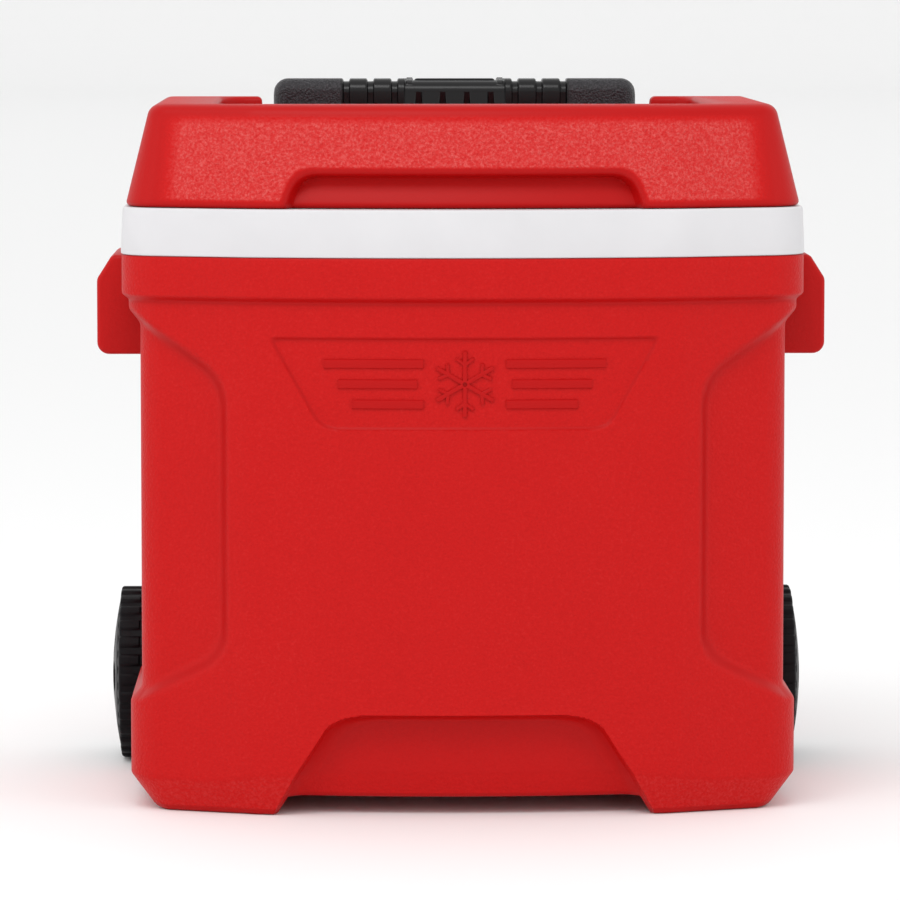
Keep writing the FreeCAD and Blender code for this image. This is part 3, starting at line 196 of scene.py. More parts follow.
def column_places():
    """Where the columns of points stand round the outline, closest where the moulding has its edges."""
    side_y = SIDE_START - (CORNER_Y + CORNER_TANGENT)
    rear_x = REAR_START + SIDE_X - REAR_CORNER
    half = np.concatenate([
        spaced(0, 4, 74, 1.3, 88, 0.75, GUIDE, 0.75, 97, 3, 131, 1, 147, 2.5, FRONT_END, 2, SIDE_START),
        side_y + spaced(-96, 3, -80, 8, 80, 3, REAR_Y - REAR_CORNER - 2),
        spaced(SIDE_END, 2.6, REAR_START),
        rear_x - spaced(168, 3, 147, 1, 131, 8, 0),
    ])
    half[-1] = HALF_LENGTH
    return np.concatenate([half, -half[-2:0:-1]])


COLUMNS = column_places()


def steered(places, guide):
    """Columns shifted sideways so that the one at GUIDE follows a slanted edge of the moulding."""
    reach = np.abs(places)
    inner = reach * guide / GUIDE
    outer = guide + (reach - GUIDE) * (BOW_X - guide) / (BOW_X - GUIDE)
    moved = np.where(reach < GUIDE, inner, np.where(reach < BOW_X, outer, reach))
    return np.sign(places) * moved


def plan_ring(inset, z, places=COLUMNS):
    """One ring of points on the cooler's outline."""
    x, y = along(PLAN, places, inset)
    return np.stack([x, y, np.broadcast_to(z, x.shape)], axis=-1)


def rounded_table(half_x, front, back, radius):
    """Half of a rounded rectangle's outline, walked from its front middle."""
    quarter = math.pi / 2
    return walk((0.0, front), [
        (half_x - radius, 0),
        (radius * quarter, quarter),
        (back - front - 2 * radius, 0),
        (radius * quarter, quarter),
        (half_x - radius, 0),
    ])


def cavity_ring(inset, z, places=COLUMNS):
    """One ring of points on the food compartment's outline, matched to the cooler's columns."""
    table = rounded_table(CAVITY_X - inset, CAVITY_FRONT + inset, CAVITY_BACK - inset,
                          CAVITY_CORNER - inset)
    x, y = along(table, places * table[0][-1] / HALF_LENGTH)
    return np.stack([x, y, np.full(x.shape, float(z))], axis=-1)


def normals(places):
    """X and Y of the cooler's outward normal at each place round its outline."""
    reach = np.abs(places)
    return np.interp(reach, PLAN[0], PLAN[3]) * np.sign(places), np.interp(reach, PLAN[0], PLAN[4])


# ---------------------------------------------------------------- meshes


def stand(name, data):
    """A new object in the scene."""
    item = bpy.data.objects.new(name, data)
    bpy.context.scene.collection.objects.link(item)
    return item


def dress(piece, body, slot, replaced):
    """Says what a piece rides on, which finish it has and which CAD nodes it stands for."""
    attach(piece, body)
    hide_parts(*replaced)
    piece.data.materials.clear()
    piece.data.materials.append(MATERIALS[slot])
    return piece


def finish_mesh(mesh, crease=32):
    """Outward normals, merged doubles, smooth faces and sharp creases."""
    work = bmesh.new()
    work.from_mesh(mesh)
    bmesh.ops.remove_doubles(work, verts=work.verts, dist=1e-6)
    bmesh.ops.recalc_face_normals(work, faces=work.faces)
    work.to_mesh(mesh)
    work.free()
    mesh.shade_smooth()
    mesh.set_sharp_from_angle(angle=math.radians(crease))


def skins(name, parts, grain_and_sheen=1.0, crease=32):
    """One object from closed skins, each a pair: its rings of points, and whether the rings join up.

    The texture amount, one number or one for each point, says how strong the moulded texture is; the pebbled
    finishes also paint it as colour, paler where it is high as painted sheen and deeper where it is low as
    painted shade.
    """
    points = []
    faces = []
    first = 0
    for rings, joined in parts:
        rings = np.asarray(rings, float)
        count, size = rings.shape[:2]
        index = first + np.arange(count * size).reshape(count, size)
        lower = index if joined else index[:-1]
        upper = np.roll(index, -1, axis=0) if joined else index[1:]
        quads = np.stack([lower, np.roll(lower, -1, axis=1), np.roll(upper, -1, axis=1), upper], axis=-1)
        faces += quads.reshape(-1, 4).tolist()
        if not joined:
            faces += [index[0][::-1].tolist(), index[-1].tolist()]
        points.append(rings.reshape(-1, 3))
        first += count * size
    mesh = bpy.data.meshes.new(name)
    mesh.from_pydata((np.concatenate(points) * MM).tolist(), [], faces)
    layer = mesh.attributes.new("grain_and_sheen", "FLOAT", "POINT")
    amount = np.broadcast_to(np.asarray(grain_and_sheen, float).reshape(-1), first)
    layer.data.foreach_set("value", amount.astype(np.float32))
    finish_mesh(mesh, crease)
    return stand(name, mesh)


def carve(piece, *cutters, crease=32):
    """Takes closed cutters out of a piece."""
    for cutter in cutters:
        modifier = piece.modifiers.new("carve", "BOOLEAN")
        modifier.operation = "DIFFERENCE"
        modifier.solver = "EXACT"
        modifier.object = cutter
    graph = bpy.context.evaluated_depsgraph_get()
    mesh = bpy.data.meshes.new_from_object(piece.evaluated_get(graph))
    piece.modifiers.clear()
    piece.data = mesh
    for cutter in cutters:
        bpy.data.objects.remove(cutter)
    finish_mesh(mesh, crease)
    return piece


def turned(centre, profile, axis="x", segments=96):
    """Rings of a turned form: each profile point is a place along the axis and a radius."""
    angles = np.arange(segments) * 2 * math.pi / segments
    rings = []
    for place, radius in profile:
        across = radius * np.cos(angles)
        up = radius * np.sin(angles)
        flat = np.full(segments, float(place))
        order = {"x": (flat, across, up), "y": (across, flat, up), "z": (across, up, flat)}[axis]
        rings.append(np.stack(order, axis=-1) + np.array(centre, float))
    return rings


def block_ring(half_x, front, back, radius, z, offset=0.0, count=BLOCK_POINTS):
    """One ring of a rounded rectangle, moved outward by an offset."""
    table = rounded_table(half_x + offset, front - offset, back + offset, radius + offset)
    half = np.linspace(0, table[0][-1], count // 2 + 1)
    x, y = along(table, np.concatenate([half, -half[-2:0:-1]]))
    return np.stack([x, y, np.full(x.shape, float(z))], axis=-1)


def block(half_x, front, back, radius, profile):
    """Rings of a rounded block: each profile point is a height and an outward offset."""
    return [block_ring(half_x, front, back, radius, z, offset) for z, offset in profile]


# ---------------------------------------------------------------- materials


def linear(*shade):
    """A display colour of 0 to 255 as the linear colour that shaders use."""
    parts = [v / 255 for v in shade]
    return tuple(v / 12.92 if v <= 0.04045 else ((v + 0.055) / 1.055) ** 2.4 for v in parts) + (1.0,)


class Nodes:
    """A material's node tree, with short ways to add and join nodes."""

    def __init__(self, name):
        self.material = bpy.data.materials.new(name)
        self.material.use_nodes = True
        self.tree = self.material.node_tree
        self.shader = self.tree.nodes["Principled BSDF"]
        self.place = self.add("ShaderNodeTexCoord").outputs["Object"]

    def add(self, kind, **settings):
        """A new node with some of its settings."""
        node = self.tree.nodes.new(kind)
        for name, setting in settings.items():
            setattr(node, name, setting)
        return node

    def join(self, source, target):
        """Links an output to an input."""
        self.tree.links.new(source, target)

    def noise(self, scale, detail=2.0, roughness=0.5, stretch=None):
        """A noise of 0 to 1 over the object, drawn out along the axes whose stretch is small."""
        node = self.add("ShaderNodeTexNoise")
        node.inputs["Scale"].default_value = scale
        node.inputs["Detail"].default_value = detail
        node.inputs["Roughness"].default_value = roughness
        where = self.place
        if stretch:
            mapping = self.add("ShaderNodeMapping")
            mapping.inputs["Scale"].default_value = stretch
            self.join(self.place, mapping.inputs["Vector"])
            where = mapping.outputs["Vector"]
        self.join(where, node.inputs["Vector"])
        return node.outputs["Fac"]

    def cells(self, scale):
        """The distance from the middle of rounded cells."""
        node = self.add("ShaderNodeTexVoronoi", feature="SMOOTH_F1")
        node.inputs["Scale"].default_value = scale
        self.join(self.place, node.inputs["Vector"])
        return node.outputs["Distance"]

    def math(self, operation, a, b):
        """A sum, product or the like of two numbers or outputs."""
        node = self.add("ShaderNodeMath", operation=operation)
        for socket, item in zip(node.inputs, (a, b)):
            if isinstance(item, (int, float)):
                socket.default_value = item
            else:
                self.join(item, socket)
        return node.outputs["Value"]

    def blend(self, amount, *stops):
        """A colour ramp over an amount: each stop is a place and a colour."""
        ramp = self.add("ShaderNodeValToRGB").color_ramp
        while len(ramp.elements) < len(stops):
            ramp.elements.new(0.5)
        for element, (place, colour) in zip(ramp.elements, stops):
            element.position = place
            element.color = colour
        node = self.tree.nodes[-1]
        self.join(amount, node.inputs["Fac"])
        return node.outputs["Color"]

    def spread(self, amount, low, high, floor=0.0, top=1.0):
        """An amount that runs from floor to top, made to run from low to high."""
        node = self.add("ShaderNodeMapRange")
        for name, number in (("From Min", floor), ("From Max", top), ("To Min", low), ("To Max", high)):
            node.inputs[name].default_value = number
        self.join(amount, node.inputs["Value"])
        return node.outputs["Result"]

    def bump(self, height, distance, strength=1.0):
        """Relief of a depth in millimetres on the shader."""
        node = self.add("ShaderNodeBump")
        node.inputs["Strength"].default_value = strength
        node.inputs["Distance"].default_value = distance * MM
        self.join(height, node.inputs["Height"])
        self.join(node.outputs["Normal"], self.shader.inputs["Normal"])

    def matt(self, level):
        """Sets how strongly the surface mirrors what faces it."""
        self.shader.inputs["Specular IOR Level"].default_value = level

    def grain_and_sheen(self):
        """The mesh's own texture amount, from 0 on smooth plastic, painted deeper as painted shade, to 1,
        painted paler as painted sheen.
        """
        node = self.add("ShaderNodeAttribute", attribute_name="grain_and_sheen")
        return node.outputs["Fac"]


def pebbled_with_sheen(name, shades, size, depth, roughness, smooth_roughness, mirror=0.15):
    """Moulded plastic with a pebble bump whose texture amount also sets its colour: paler where the amount
    is high, a painted sheen, with pale specks as painted glints, and deeper at smooth edges and recesses, a
    painted shade.
    """
    nodes = Nodes(name)
    nodes.matt(mirror)
    grain_and_sheen = nodes.grain_and_sheen()
    pebbles = nodes.cells(1000 / size)
    fine = nodes.noise(900 / size, detail=2, roughness=0.8)
    height = nodes.math("ADD", nodes.math("MULTIPLY", pebbles, 0.8), nodes.math("MULTIPLY", fine, 0.5))
    nodes.bump(nodes.math("MULTIPLY", height, grain_and_sheen), depth)
    cloud = nodes.spread(nodes.noise(14, detail=2), -0.07, 0.07)
    # Pale specks where the texture amount is high: painted glints on the pebbles.
    glint_specks = nodes.math("MULTIPLY", nodes.spread(fine, -0.4, 0.4, floor=0.3, top=0.7), grain_and_sheen)
    amount = nodes.math("MULTIPLY", nodes.math("ADD", nodes.math("ADD", grain_and_sheen, cloud), glint_specks), 0.7)
    nodes.join(nodes.blend(amount, *zip((0.0, 0.35, 0.7, 1.0), shades)), nodes.shader.inputs["Base Color"])
    rough = nodes.spread(grain_and_sheen, smooth_roughness, roughness)
    speckle = nodes.spread(nodes.noise(900, detail=1), -0.05, 0.05)
    nodes.join(nodes.math("ADD", rough, speckle), nodes.shader.inputs["Roughness"])
    return nodes.material


def satin(name, colour, tint, roughness, depth=0.05, scale=350, variation=60):
    """Smooth moulded plastic with a faint ripple and a little unevenness of tone."""
    nodes = Nodes(name)
    nodes.matt(0.12)
    tone = nodes.noise(variation, detail=3)
    nodes.join(nodes.blend(tone, (0.3, colour), (0.7, tint)), nodes.shader.inputs["Base Color"])
    rough = nodes.spread(nodes.noise(180, detail=4), roughness - 0.05, roughness + 0.07)
    nodes.join(rough, nodes.shader.inputs["Roughness"])
    nodes.bump(nodes.noise(scale, detail=4), depth)
    return nodes.material


def metal(name, colour, tint, roughness, stretch):
    """Drawn or brushed metal, its fine lines along one direction."""
    nodes = Nodes(name)
    nodes.shader.inputs["Metallic"].default_value = 1.0
    lines = nodes.noise(900, detail=3, roughness=0.65, stretch=stretch)
    nodes.join(nodes.blend(lines, (0.3, colour), (0.7, tint)), nodes.shader.inputs["Base Color"])
    nodes.join(nodes.spread(lines, roughness - 0.06, roughness + 0.08), nodes.shader.inputs["Roughness"])
    nodes.bump(lines, 0.02, 0.5)
    return nodes.material


def foam(name):
    """Pale closed-cell foam with small pores."""
    nodes = Nodes(name)
    pores = nodes.cells(420)
    tone = nodes.blend(pores, (0.1, linear(214, 190, 128)), (0.6, linear(240, 224, 178)))
    nodes.join(tone, nodes.shader.inputs["Base Color"])
    nodes.shader.inputs["Roughness"].default_value = 0.9
    nodes.bump(pores, 0.6)
    return nodes.material


# The red runs from a deep red, painted shade on edges, recess slopes and the scoop, through the body's red
# to a paler red that paints the upturned lid's sheen, and a pale red for painted glints.
RED_SHADE_AND_SHEEN = [linear(172, 6, 6), linear(186, 13, 12), linear(195, 48, 46), linear(204, 82, 78)]
# The grip's black runs likewise to greys that paint its sheen and glints.
GRIP_BLACK_AND_SHEEN = [linear(8, 7, 9), linear(14, 13, 15), linear(36, 34, 38), linear(66, 64, 68)]

MATERIALS = {
    "red_plastic": pebbled_with_sheen("red_plastic", RED_SHADE_AND_SHEEN, 1.5, 0.9, 0.55, 0.42),
    "red_hinge": satin("red_hinge", linear(166, 12, 12), linear(174, 16, 15), 0.4),
    "white_plastic": satin("white_plastic", linear(205, 204, 206), linear(209, 208, 210), 0.34,
                           depth=0.03, scale=160, variation=25),
    "foam": foam("foam"),
    "black_plastic": satin("black_plastic", linear(9, 8, 10), linear(16, 15, 17), 0.35),
    "grip_plastic": pebbled_with_sheen("grip_plastic", GRIP_BLACK_AND_SHEEN, 1.1, 0.6, 0.42, 0.24, mirror=0.3),
    "tyre": satin("tyre", linear(9, 6, 9), linear(15, 12, 15), 0.5, depth=0.12, scale=900),
    "steel": metal("steel", linear(196, 196, 200), linear(215, 215, 218), 0.28, (1, 1, 0.05)),
    "tube_metal": metal("tube_metal", linear(186, 189, 194), linear(206, 208, 212), 0.3, (1, 1, 0.02)),
}

# ---------------------------------------------------------------- body shell


def wall_inset(z):
    """The collar at the top, then the chamfer under it, then the wall."""
    return COLLAR_INSET + (WALL_INSET - COLLAR_INSET) * ease((COLLAR_Z - z) / 4.5)


# A slope is how fast a slanted edge changes level over X. A lean turns a distance along X or Z into a
# distance square to such an edge.

RECESS_X = 134.9
RECESS_FLOOR_LEVEL = 63
RECESS_LOW_X, RECESS_LOW_Z, RECESS_LOW_SLOPE, RECESS_LOW_LEAN = 140, 87.5, 0.516, 0.889
RECESS_CEILING_LEVEL = 288.5
RECESS_HIGH_X, RECESS_HIGH_Z, RECESS_HIGH_SLOPE, RECESS_HIGH_LEAN = 142, 256, 0.68, 0.827
RECESS_SLOPE_WIDTH = 6.6
ARCH_TOP = 59.5
ARCH_LEVELS = [0, KEEL_Z, 58.8]
ARCH_HALVES = [112.5, 106, 74.2]
ARCH_LEAN = 0.84
ARCH_SIDE_ROLL = 10
ARCH_TOP_ROLL = 5
ARCH_DEPTH = 13
PANEL_LEVELS = [222.5, 274.6]
PANEL_HALVES = [82, 111.5]
PANEL_GUIDES = [79.5, 108.9]     # where the guide column runs beside the panel's slanted ends
PANEL_LEAN = 0.87
PANEL_SLOPE_WIDTH = 1.9
PANEL_DEPTH = 2
FRONT_ONLY_Y = -100              # the arch and the panel are sunk only in front of this
FOOT_BACK_Y = -59
FOOT_INNER_X = 106
FOOT_CREASE_Z = 20
FOOT_TUCK_X = 15                 # how far the wall draws in from its crease to the floor
FOOT_TUCK_Y = 6.5
BODY_GRAIN_AND_SHEEN = 0.42                # the body's texture amount, where the lid's is 1, so the body is painted a deeper red than the lid's painted sheen


def side_recess(x, z):
    """The sunk field that wraps round each side, with slanted ends: 0 outside it, 1 on its floor."""
    reach = np.abs(x)
    across = reach - RECESS_X
    low = np.maximum(RECESS_LOW_Z - RECESS_LOW_SLOPE * (reach - RECESS_LOW_X), RECESS_FLOOR_LEVEL)
    high = np.minimum(RECESS_HIGH_Z + RECESS_HIGH_SLOPE * (reach - RECESS_HIGH_X), RECESS_CEILING_LEVEL)
    lower = (z - low) * RECESS_LOW_LEAN
    upper = (high - z) * RECESS_HIGH_LEAN
    inside = soft_min(across, soft_min(lower, upper, 8), 14)
    return chamfer(inside / RECESS_SLOPE_WIDTH)


def arch_half(z):
    """Half the width of the toe recess at a level."""
    return np.interp(z, ARCH_LEVELS, ARCH_HALVES)


def toe_recess(x, y, z):
    """The recess between the front feet: a crisp edge, then a rounded fall to its floor at 1."""
    side = (arch_half(z) - np.abs(x)) * ARCH_LEAN / ARCH_SIDE_ROLL
    top = (ARCH_TOP - z) / ARCH_TOP_ROLL
    inside = np.clip(soft_min(side, top, 2.0), 0, 1)
    return np.where(y < FRONT_ONLY_Y, 0.25 * ease(inside / 0.12) + 0.75 * np.sin(inside * math.pi / 2), 0)


def panel_half(z):
    """Half the width of the badge panel at a level."""
    return np.interp(z, PANEL_LEVELS, PANEL_HALVES)


def badge_panel(x, y, z):
    """The sunk panel under the collar, narrower at its foot: 0 outside it, 1 on its floor."""
    side = (panel_half(z) - np.abs(x)) * PANEL_LEAN
    level = soft_min(274.9 - z, z - 222.2, 2)
    inside = soft_min(side, level, np.where(z < 245, 8.0, 4.0))
    return np.where(y < FRONT_ONLY_Y, chamfer(inside / PANEL_SLOPE_WIDTH), 0)


def foot_depth(y):
    """1 as far back as the front feet reach, 0 behind them."""
    return ease((FOOT_BACK_Y - y) / 6)


def underside(x, y):
    """The level of the body's underside: the floor under a front foot, keel height elsewhere."""
    return KEEL_Z * (1 - ease((np.abs(x) - FOOT_INNER_X) / 6.5) * foot_depth(y))


def body_point(places, z):
    """Points on the body's outer face, and their texture amount, which also paints their colour: deeper on
    recess slopes, under the collar and on the arch floor as painted shade, paler on the front foot chamfer
    as a painted reflection of the floor.
    """
    x, y = along(PLAN, places, WALL_INSET)
    corner = side_recess(x, z)
    toe = toe_recess(x, y, z)
    panel = badge_panel(x, y, z)
    inset = wall_inset(z) + RECESS_DEPTH * corner + ARCH_DEPTH * toe + PANEL_DEPTH * panel
    px, py = along(PLAN, places, inset)
    normal_x, normal_y = normals(places)
    crease = FOOT_CREASE_Z + 5 * ease((150 - np.abs(x)) / 50)
    lean = -soft_min(z - crease, 0 * z, 1.2) / crease
    px = px - FOOT_TUCK_X * lean * normal_x
    py = py - np.where(normal_y < 0, FOOT_TUCK_Y, 2.0) * lean * normal_y
    # The recess slopes and the chamfer under the collar get less texture amount and are painted deeper red:
    # painted shade.
    edges = 4 * (corner * (1 - corner) + toe * (1 - toe) + panel * (1 - panel))
    under_collar = ease((COLLAR_Z - z) / 3) * ease((z - 292) / 2)
    smooth_and_shaded = np.clip(edges + under_collar, 0, 1)
    # The front foot's tucked-in chamfer is painted paler: a painted reflection of the pale floor.
    floor_reflection = 0.15 * ease(lean / 0.12) * (normal_y < -0.5)
    # The arch floor is painted deeper as well: painted shade.
    return px, py, BODY_GRAIN_AND_SHEEN * (1 - smooth_and_shaded) * (1 - 0.5 * toe) + floor_reflection


def body_rings():
    """Rings over the whole shell: up the hollow, over the top, down the outside, and under the floor."""
    inside = [
        cavity_ring(-4, 62),
        cavity_ring(-4, 128),
        plan_ring(19, 134),
        plan_ring(19, BODY_TOP - 0.5),
        plan_ring(18.5, BODY_TOP),
        plan_ring(1.5, BODY_TOP),
        plan_ring(0.75, BODY_TOP - 0.25),
    ]
    grain_and_sheen = [np.zeros(len(COLUMNS))] * len(inside)
    rings = list(inside)
    levels = -spaced(-(BODY_TOP - 1), 6, -(COLLAR_Z + 1), 0.8, -292, 1.7, -277, 0.8, -270, 2, -232,
                     0.9, -220, 6, -106, 1.3, -62, 0.8, -54, 2.2, -28, 0.8, -18, 3, -4, 1, -1.5, 0.5, 0)
    _, outline_y = along(PLAN, COLUMNS, WALL_INSET)
    under_arch = np.abs(COLUMNS) < GUIDE
    floor = KEEL_Z * np.where(under_arch, 1, 1 - foot_depth(outline_y))
    for level in levels:
        z = np.where(level < 32, floor + level * (32 - floor) / 32, level)
        half_width = np.interp(z, ARCH_LEVELS + PANEL_LEVELS + [300], ARCH_HALVES + PANEL_GUIDES + [GUIDE])
        places = steered(COLUMNS, half_width)
        x, y, share = body_point(places, z)
        rounding = 3 - math.sqrt(9 - min(3 - level, 3) ** 2) if level < 3 else 0.0
        normal_x, normal_y = normals(places)
        rings.append(np.stack([x - rounding * normal_x, y - rounding * normal_y, z], axis=-1))
        # The rounded bottom edge gets no texture amount and is painted the deep red: painted shade.
        grain_and_sheen.append(share if level > 3 else share * 0)
    edge = rings[-1]
    for share in spaced(0.98, 0.025, 0.3, 0.14, 0.02):
        x = edge[:, 0] * share
        y = -20 + (edge[:, 1] + 20) * share
        rings.append(np.stack([x, y, underside(x, y)], axis=-1))
        grain_and_sheen.append(np.full(len(COLUMNS), BODY_GRAIN_AND_SHEEN))
    return rings, np.array(grain_and_sheen)


def wheel_well(side):
    """What the wheel's well takes out of the shell."""
    profile = [(0, WELL_RADIUS - 4), (0.3, WELL_RADIUS - 2.4), (1.2, WELL_RADIUS - 1.1),
               (2.4, WELL_RADIUS - 0.3), (4, WELL_RADIUS), (80, WELL_RADIUS)]
    rings = turned((0, WHEEL_Y, WHEEL_RADIUS), [(side * (WELL_X + d), r) for d, r in profile])
    return skins("wheel_well_cut", [(rings, False)], grain_and_sheen=0)


rings, grain_and_sheen = body_rings()
shell = skins("body_shell", [(rings, False)], grain_and_sheen=grain_and_sheen)
carve(shell, wheel_well(1), wheel_well(-1))
dress(shell, "cooler_body", "red_plastic", ["outer_shell"])


def carry_handle(side):
    """A moulded carry handle: a lip with rounded ends that hangs over a finger pocket open below."""
    front, back, low, top = -56.0, 34.0, 259.0, 317.0
    inner = SIDE_X - WALL_INSET - RECESS_DEPTH - 1
    pocket_half = (HANDLE_X - 4 - inner) / 2
    section = [(inner, low), (HANDLE_X - 7, low)]
    section += arc((HANDLE_X - 7, low + 7), 7, -80, 0, 7)
    section += arc((HANDLE_X - 7, COLLAR_Z + 3), 7, 0, 38, 5)
    section += arc((SIDE_X + 4.5, top - 5), 5, 45, 90, 4)
    section += [(inner, top)]
    section = np.array(section)
    middle = np.array([(inner + HANDLE_X) / 2, (low + top) / 2])
    rings = []
    for y, shrink in ((front, 2.5), (front + 0.4, 1.3), (front + 1.2, 0.45), (front + 2.5, 0),
                      (back - 2.5, 0), (back - 1.2, 0.45), (back - 0.4, 1.3), (back, 2.5)):
        out = section - middle
        scale = 1 - shrink / np.array([HANDLE_X - inner, top - low]) * 2
        moved = middle + out * scale
        moved[:, 0] = np.minimum(moved[:, 0], HANDLE_X - shrink)
        moved[[0, -1], 0] = inner
        rings.append(np.stack([side * moved[:, 0], np.full(len(moved), y), moved[:, 1]], axis=-1))
    # A low texture amount paints the handles a deeper red than the body: painted shade.
    lip = skins("lip", [(rings, False)], grain_and_sheen=0.15)
    hand = []
    for z, spread in ((low - 6, 2.0), (low - 0.5, 2.0), (low + 0.8, 0.6), (low + 2, 0), (294, 0),
                      (297, -1.0), (298.4, -3)):
        ring = block_ring(pocket_half + spread, front + 5 - spread, back - 5 + spread, 4 + spread, z,
                          count=60)
        ring[:, 0] = side * (HANDLE_X - 4 - pocket_half) + ring[:, 0]
        hand.append(ring)
    pocket = skins("pocket", [(hand, False)], grain_and_sheen=0)
    return carve(lip, pocket)


def unite(name, pieces):
    """One object from several, each kept as its own island."""
    work = bmesh.new()
    for piece in pieces:
        work.from_mesh(piece.data)
        bpy.data.objects.remove(piece)
    mesh = bpy.data.meshes.new(name)
    work.to_mesh(mesh)
    work.free()
    mesh.shade_smooth()
    mesh.set_sharp_from_angle(angle=math.radians(32))
    return stand(name, mesh)


handles = unite("carry_handles", [carry_handle(1), carry_handle(-1)])
dress(handles, "cooler_body", "red_plastic", ["outer_shell"])

# ---------------------------------------------------------------- badge: a plain snow crystal with bars


def rib(path, half_width, height):
    """A raised bar that follows a path of X and Z over the badge panel."""
    path = np.array(path, float)
    step = np.gradient(path, axis=0)
    step /= np.linalg.norm(step, axis=1)[:, None]
    across = np.stack([-step[:, 1], step[:, 0]], axis=-1)
    rings = []
    for point, side in zip(path, across):
        ring = []
        for share, rise in ((-1, -0.6), (-1, 0.45), (-0.86, 0.85), (-0.6, 1), (0.6, 1), (0.86, 0.85),
                            (1, 0.45), (1, -0.6)):
            x, z = point + side * half_width * share
            _, y = along(PLAN, np.array([x * 1.003]), WALL_INSET + PANEL_DEPTH - rise * height)
            ring.append((x, y[0], z))
        rings.append(ring)
    return rings, False


def badge():
    """A six-armed snow crystal between two stacks of tapered bars."""
    middle = 248.5
    parts = []
    for arm in range(6):
        angle = math.radians(30 + 60 * arm)
        along_arm = np.array([math.cos(angle), math.sin(angle)])
        centre = np.array([0, middle])
        parts.append(rib([centre + along_arm * d for d in (1.2, 6, 12, 18.5)], 1.3, 1.3))
        for turn in (-55, 55):
            twig = math.radians(30 + 60 * arm + turn)
            start = centre + along_arm * 11
            heading = np.array([math.cos(twig), math.sin(twig)])
            parts.append(rib([start + heading * d for d in (0.6, 3, 6)], 1.05, 1.2))
    for side in (-1, 1):
        for level, far in ((11.5, 80), (0, 72), (-11.5, 64)):
            path = [(side * x, middle + level) for x in spaced(27 - abs(level) * 0.3, 5, far)]
            parts.append(rib(path, 2.6, 1.2))
    return parts


emblem = skins("badge_emblem", badge(), grain_and_sheen=0)
dress(emblem, "cooler_body", "red_plastic", ["outer_shell"])

# ---------------------------------------------------------------- rim band and food compartment


def liner_rings():
    """Rings over the tub: up its inside from the floor, over the rim band, and down its outside."""
    rings = [cavity_ring(14 - 12 * math.sin(a), CAVITY_FLOOR + 12 - 12 * math.cos(a))
             for a in np.linspace(0, math.pi / 2, 8)]
    rings += [cavity_ring(1, 200), cavity_ring(0, BAND_TOP - 2.5)]
    rings += [cavity_ring(-2.5 + 2.5 * math.cos(a), BAND_TOP - 2.5 + 2.5 * math.sin(a))
              for a in np.linspace(0.2, math.pi / 2, 5)]
    rings += [plan_ring(2.7 - out, BAND_TOP - 1.5 + up) for out, up in arc((0, 0), 1.5, 90, 5, 5)]
    rings += [plan_ring(0.6, BAND_TOP - 14), plan_ring(0.08, BODY_TOP + 1.5)]
    rings += [plan_ring(0.25, BODY_TOP + 0.6), plan_ring(0.9, BODY_TOP + 0.12)]
    rings += [plan_ring(18.8, BODY_TOP + 0.1), cavity_ring(-2.5, BODY_TOP - 3), cavity_ring(-1.5, 200)]
    rings += [cavity_ring(-0.2, CAVITY_FLOOR + 6), cavity_ring(5, CAVITY_FLOOR - 1)]
    rings += [cavity_ring(14, CAVITY_FLOOR - 2.5)]
    return rings


liner = skins("liner_tub", [(liner_rings(), False)])
dress(liner, "cooler_body", "white_plastic", ["inner_liner"])

rings = [plan_ring(19.4, 135), plan_ring(19.4, BODY_TOP - 0.5), cavity_ring(-3, BODY_TOP - 4),
         cavity_ring(-3, 135)]
core = skins("foam_core", [(rings, True)])
dress(core, "cooler_body", "foam", ["body_foam"])

# ---------------------------------------------------------------- lid

LID_SLOPE = math.tan(LID_DRAFT)
LID_EDGE = 8
LID_LIP = 2.5
SCOOP_DEPTH = 11
SCOOP_TOP = 371.3


def scoop_half(z):
    """Half the width of the finger scoop at a level, along its S-shaped ends."""
    return np.interp(z, [LID_BOTTOM, 353.6, 360.3, 364.3, SCOOP_TOP, 385],
                     [106.4, 104.9, 102.6, 101, 98.5, GUIDE])


def scoop(x, y, z):
    """How far the finger scoop is sunk: a rolled lip round it, then an undercut face; and a share from 0 at
    its rim to 1 inside it, which paints the scoop deeper red as painted shade.
    """
    side = scoop_half(z) - np.abs(x)
    inside = soft_min(side * 0.95, SCOOP_TOP - z, 10)
    roll = 5 - np.sqrt(np.clip(25 - np.clip(inside, 0, 5) ** 2, 0, None))
    drop = 5 + (SCOOP_DEPTH - 5) * ease((inside - 5) / 1.2)
    face = 2.5 * ease((364 - z) / 17)
    depth = np.where(inside <= 0, 0, np.where(inside < 5, roll, drop - face))
    return np.where(y < -90, depth, 0), np.where(y < -90, np.clip(inside / 4, 0, 1), 0)


def lid_profile():
    """The lid's outer face from its bottom edge to its top: level, and inset from the outline."""
    foot = LID_BOTTOM + LID_LIP
    foot_inset = LID_INSET + LID_LIP * LID_SLOPE + LID_LIP / math.cos(LID_DRAFT)
    points = [(foot + LID_LIP * math.sin(a), foot_inset - LID_LIP * math.cos(a))
              for a in np.radians(spaced(-90, 17, 14))]
    brow = LID_TOP - LID_EDGE
    top_angle = math.pi / 2 - LID_DRAFT
    brow_inset = (LID_INSET + (LID_TOP - LID_BOTTOM) * LID_SLOPE
                  + LID_EDGE / math.tan((math.pi - top_angle) / 2))
    side_top = brow + LID_EDGE * math.sin(LID_DRAFT)
    levels = spaced(points[-1][0] + 1, 1.2, 363.5, 0.45, SCOOP_TOP + 0.5, 4, side_top - 1)
    points += [(z, LID_INSET + (z - LID_BOTTOM) * LID_SLOPE) for z in levels]
    points += [(brow + LID_EDGE * math.sin(a), brow_inset - LID_EDGE * math.cos(a))
               for a in np.radians(spaced(14, 9.5, 90))]
    return points


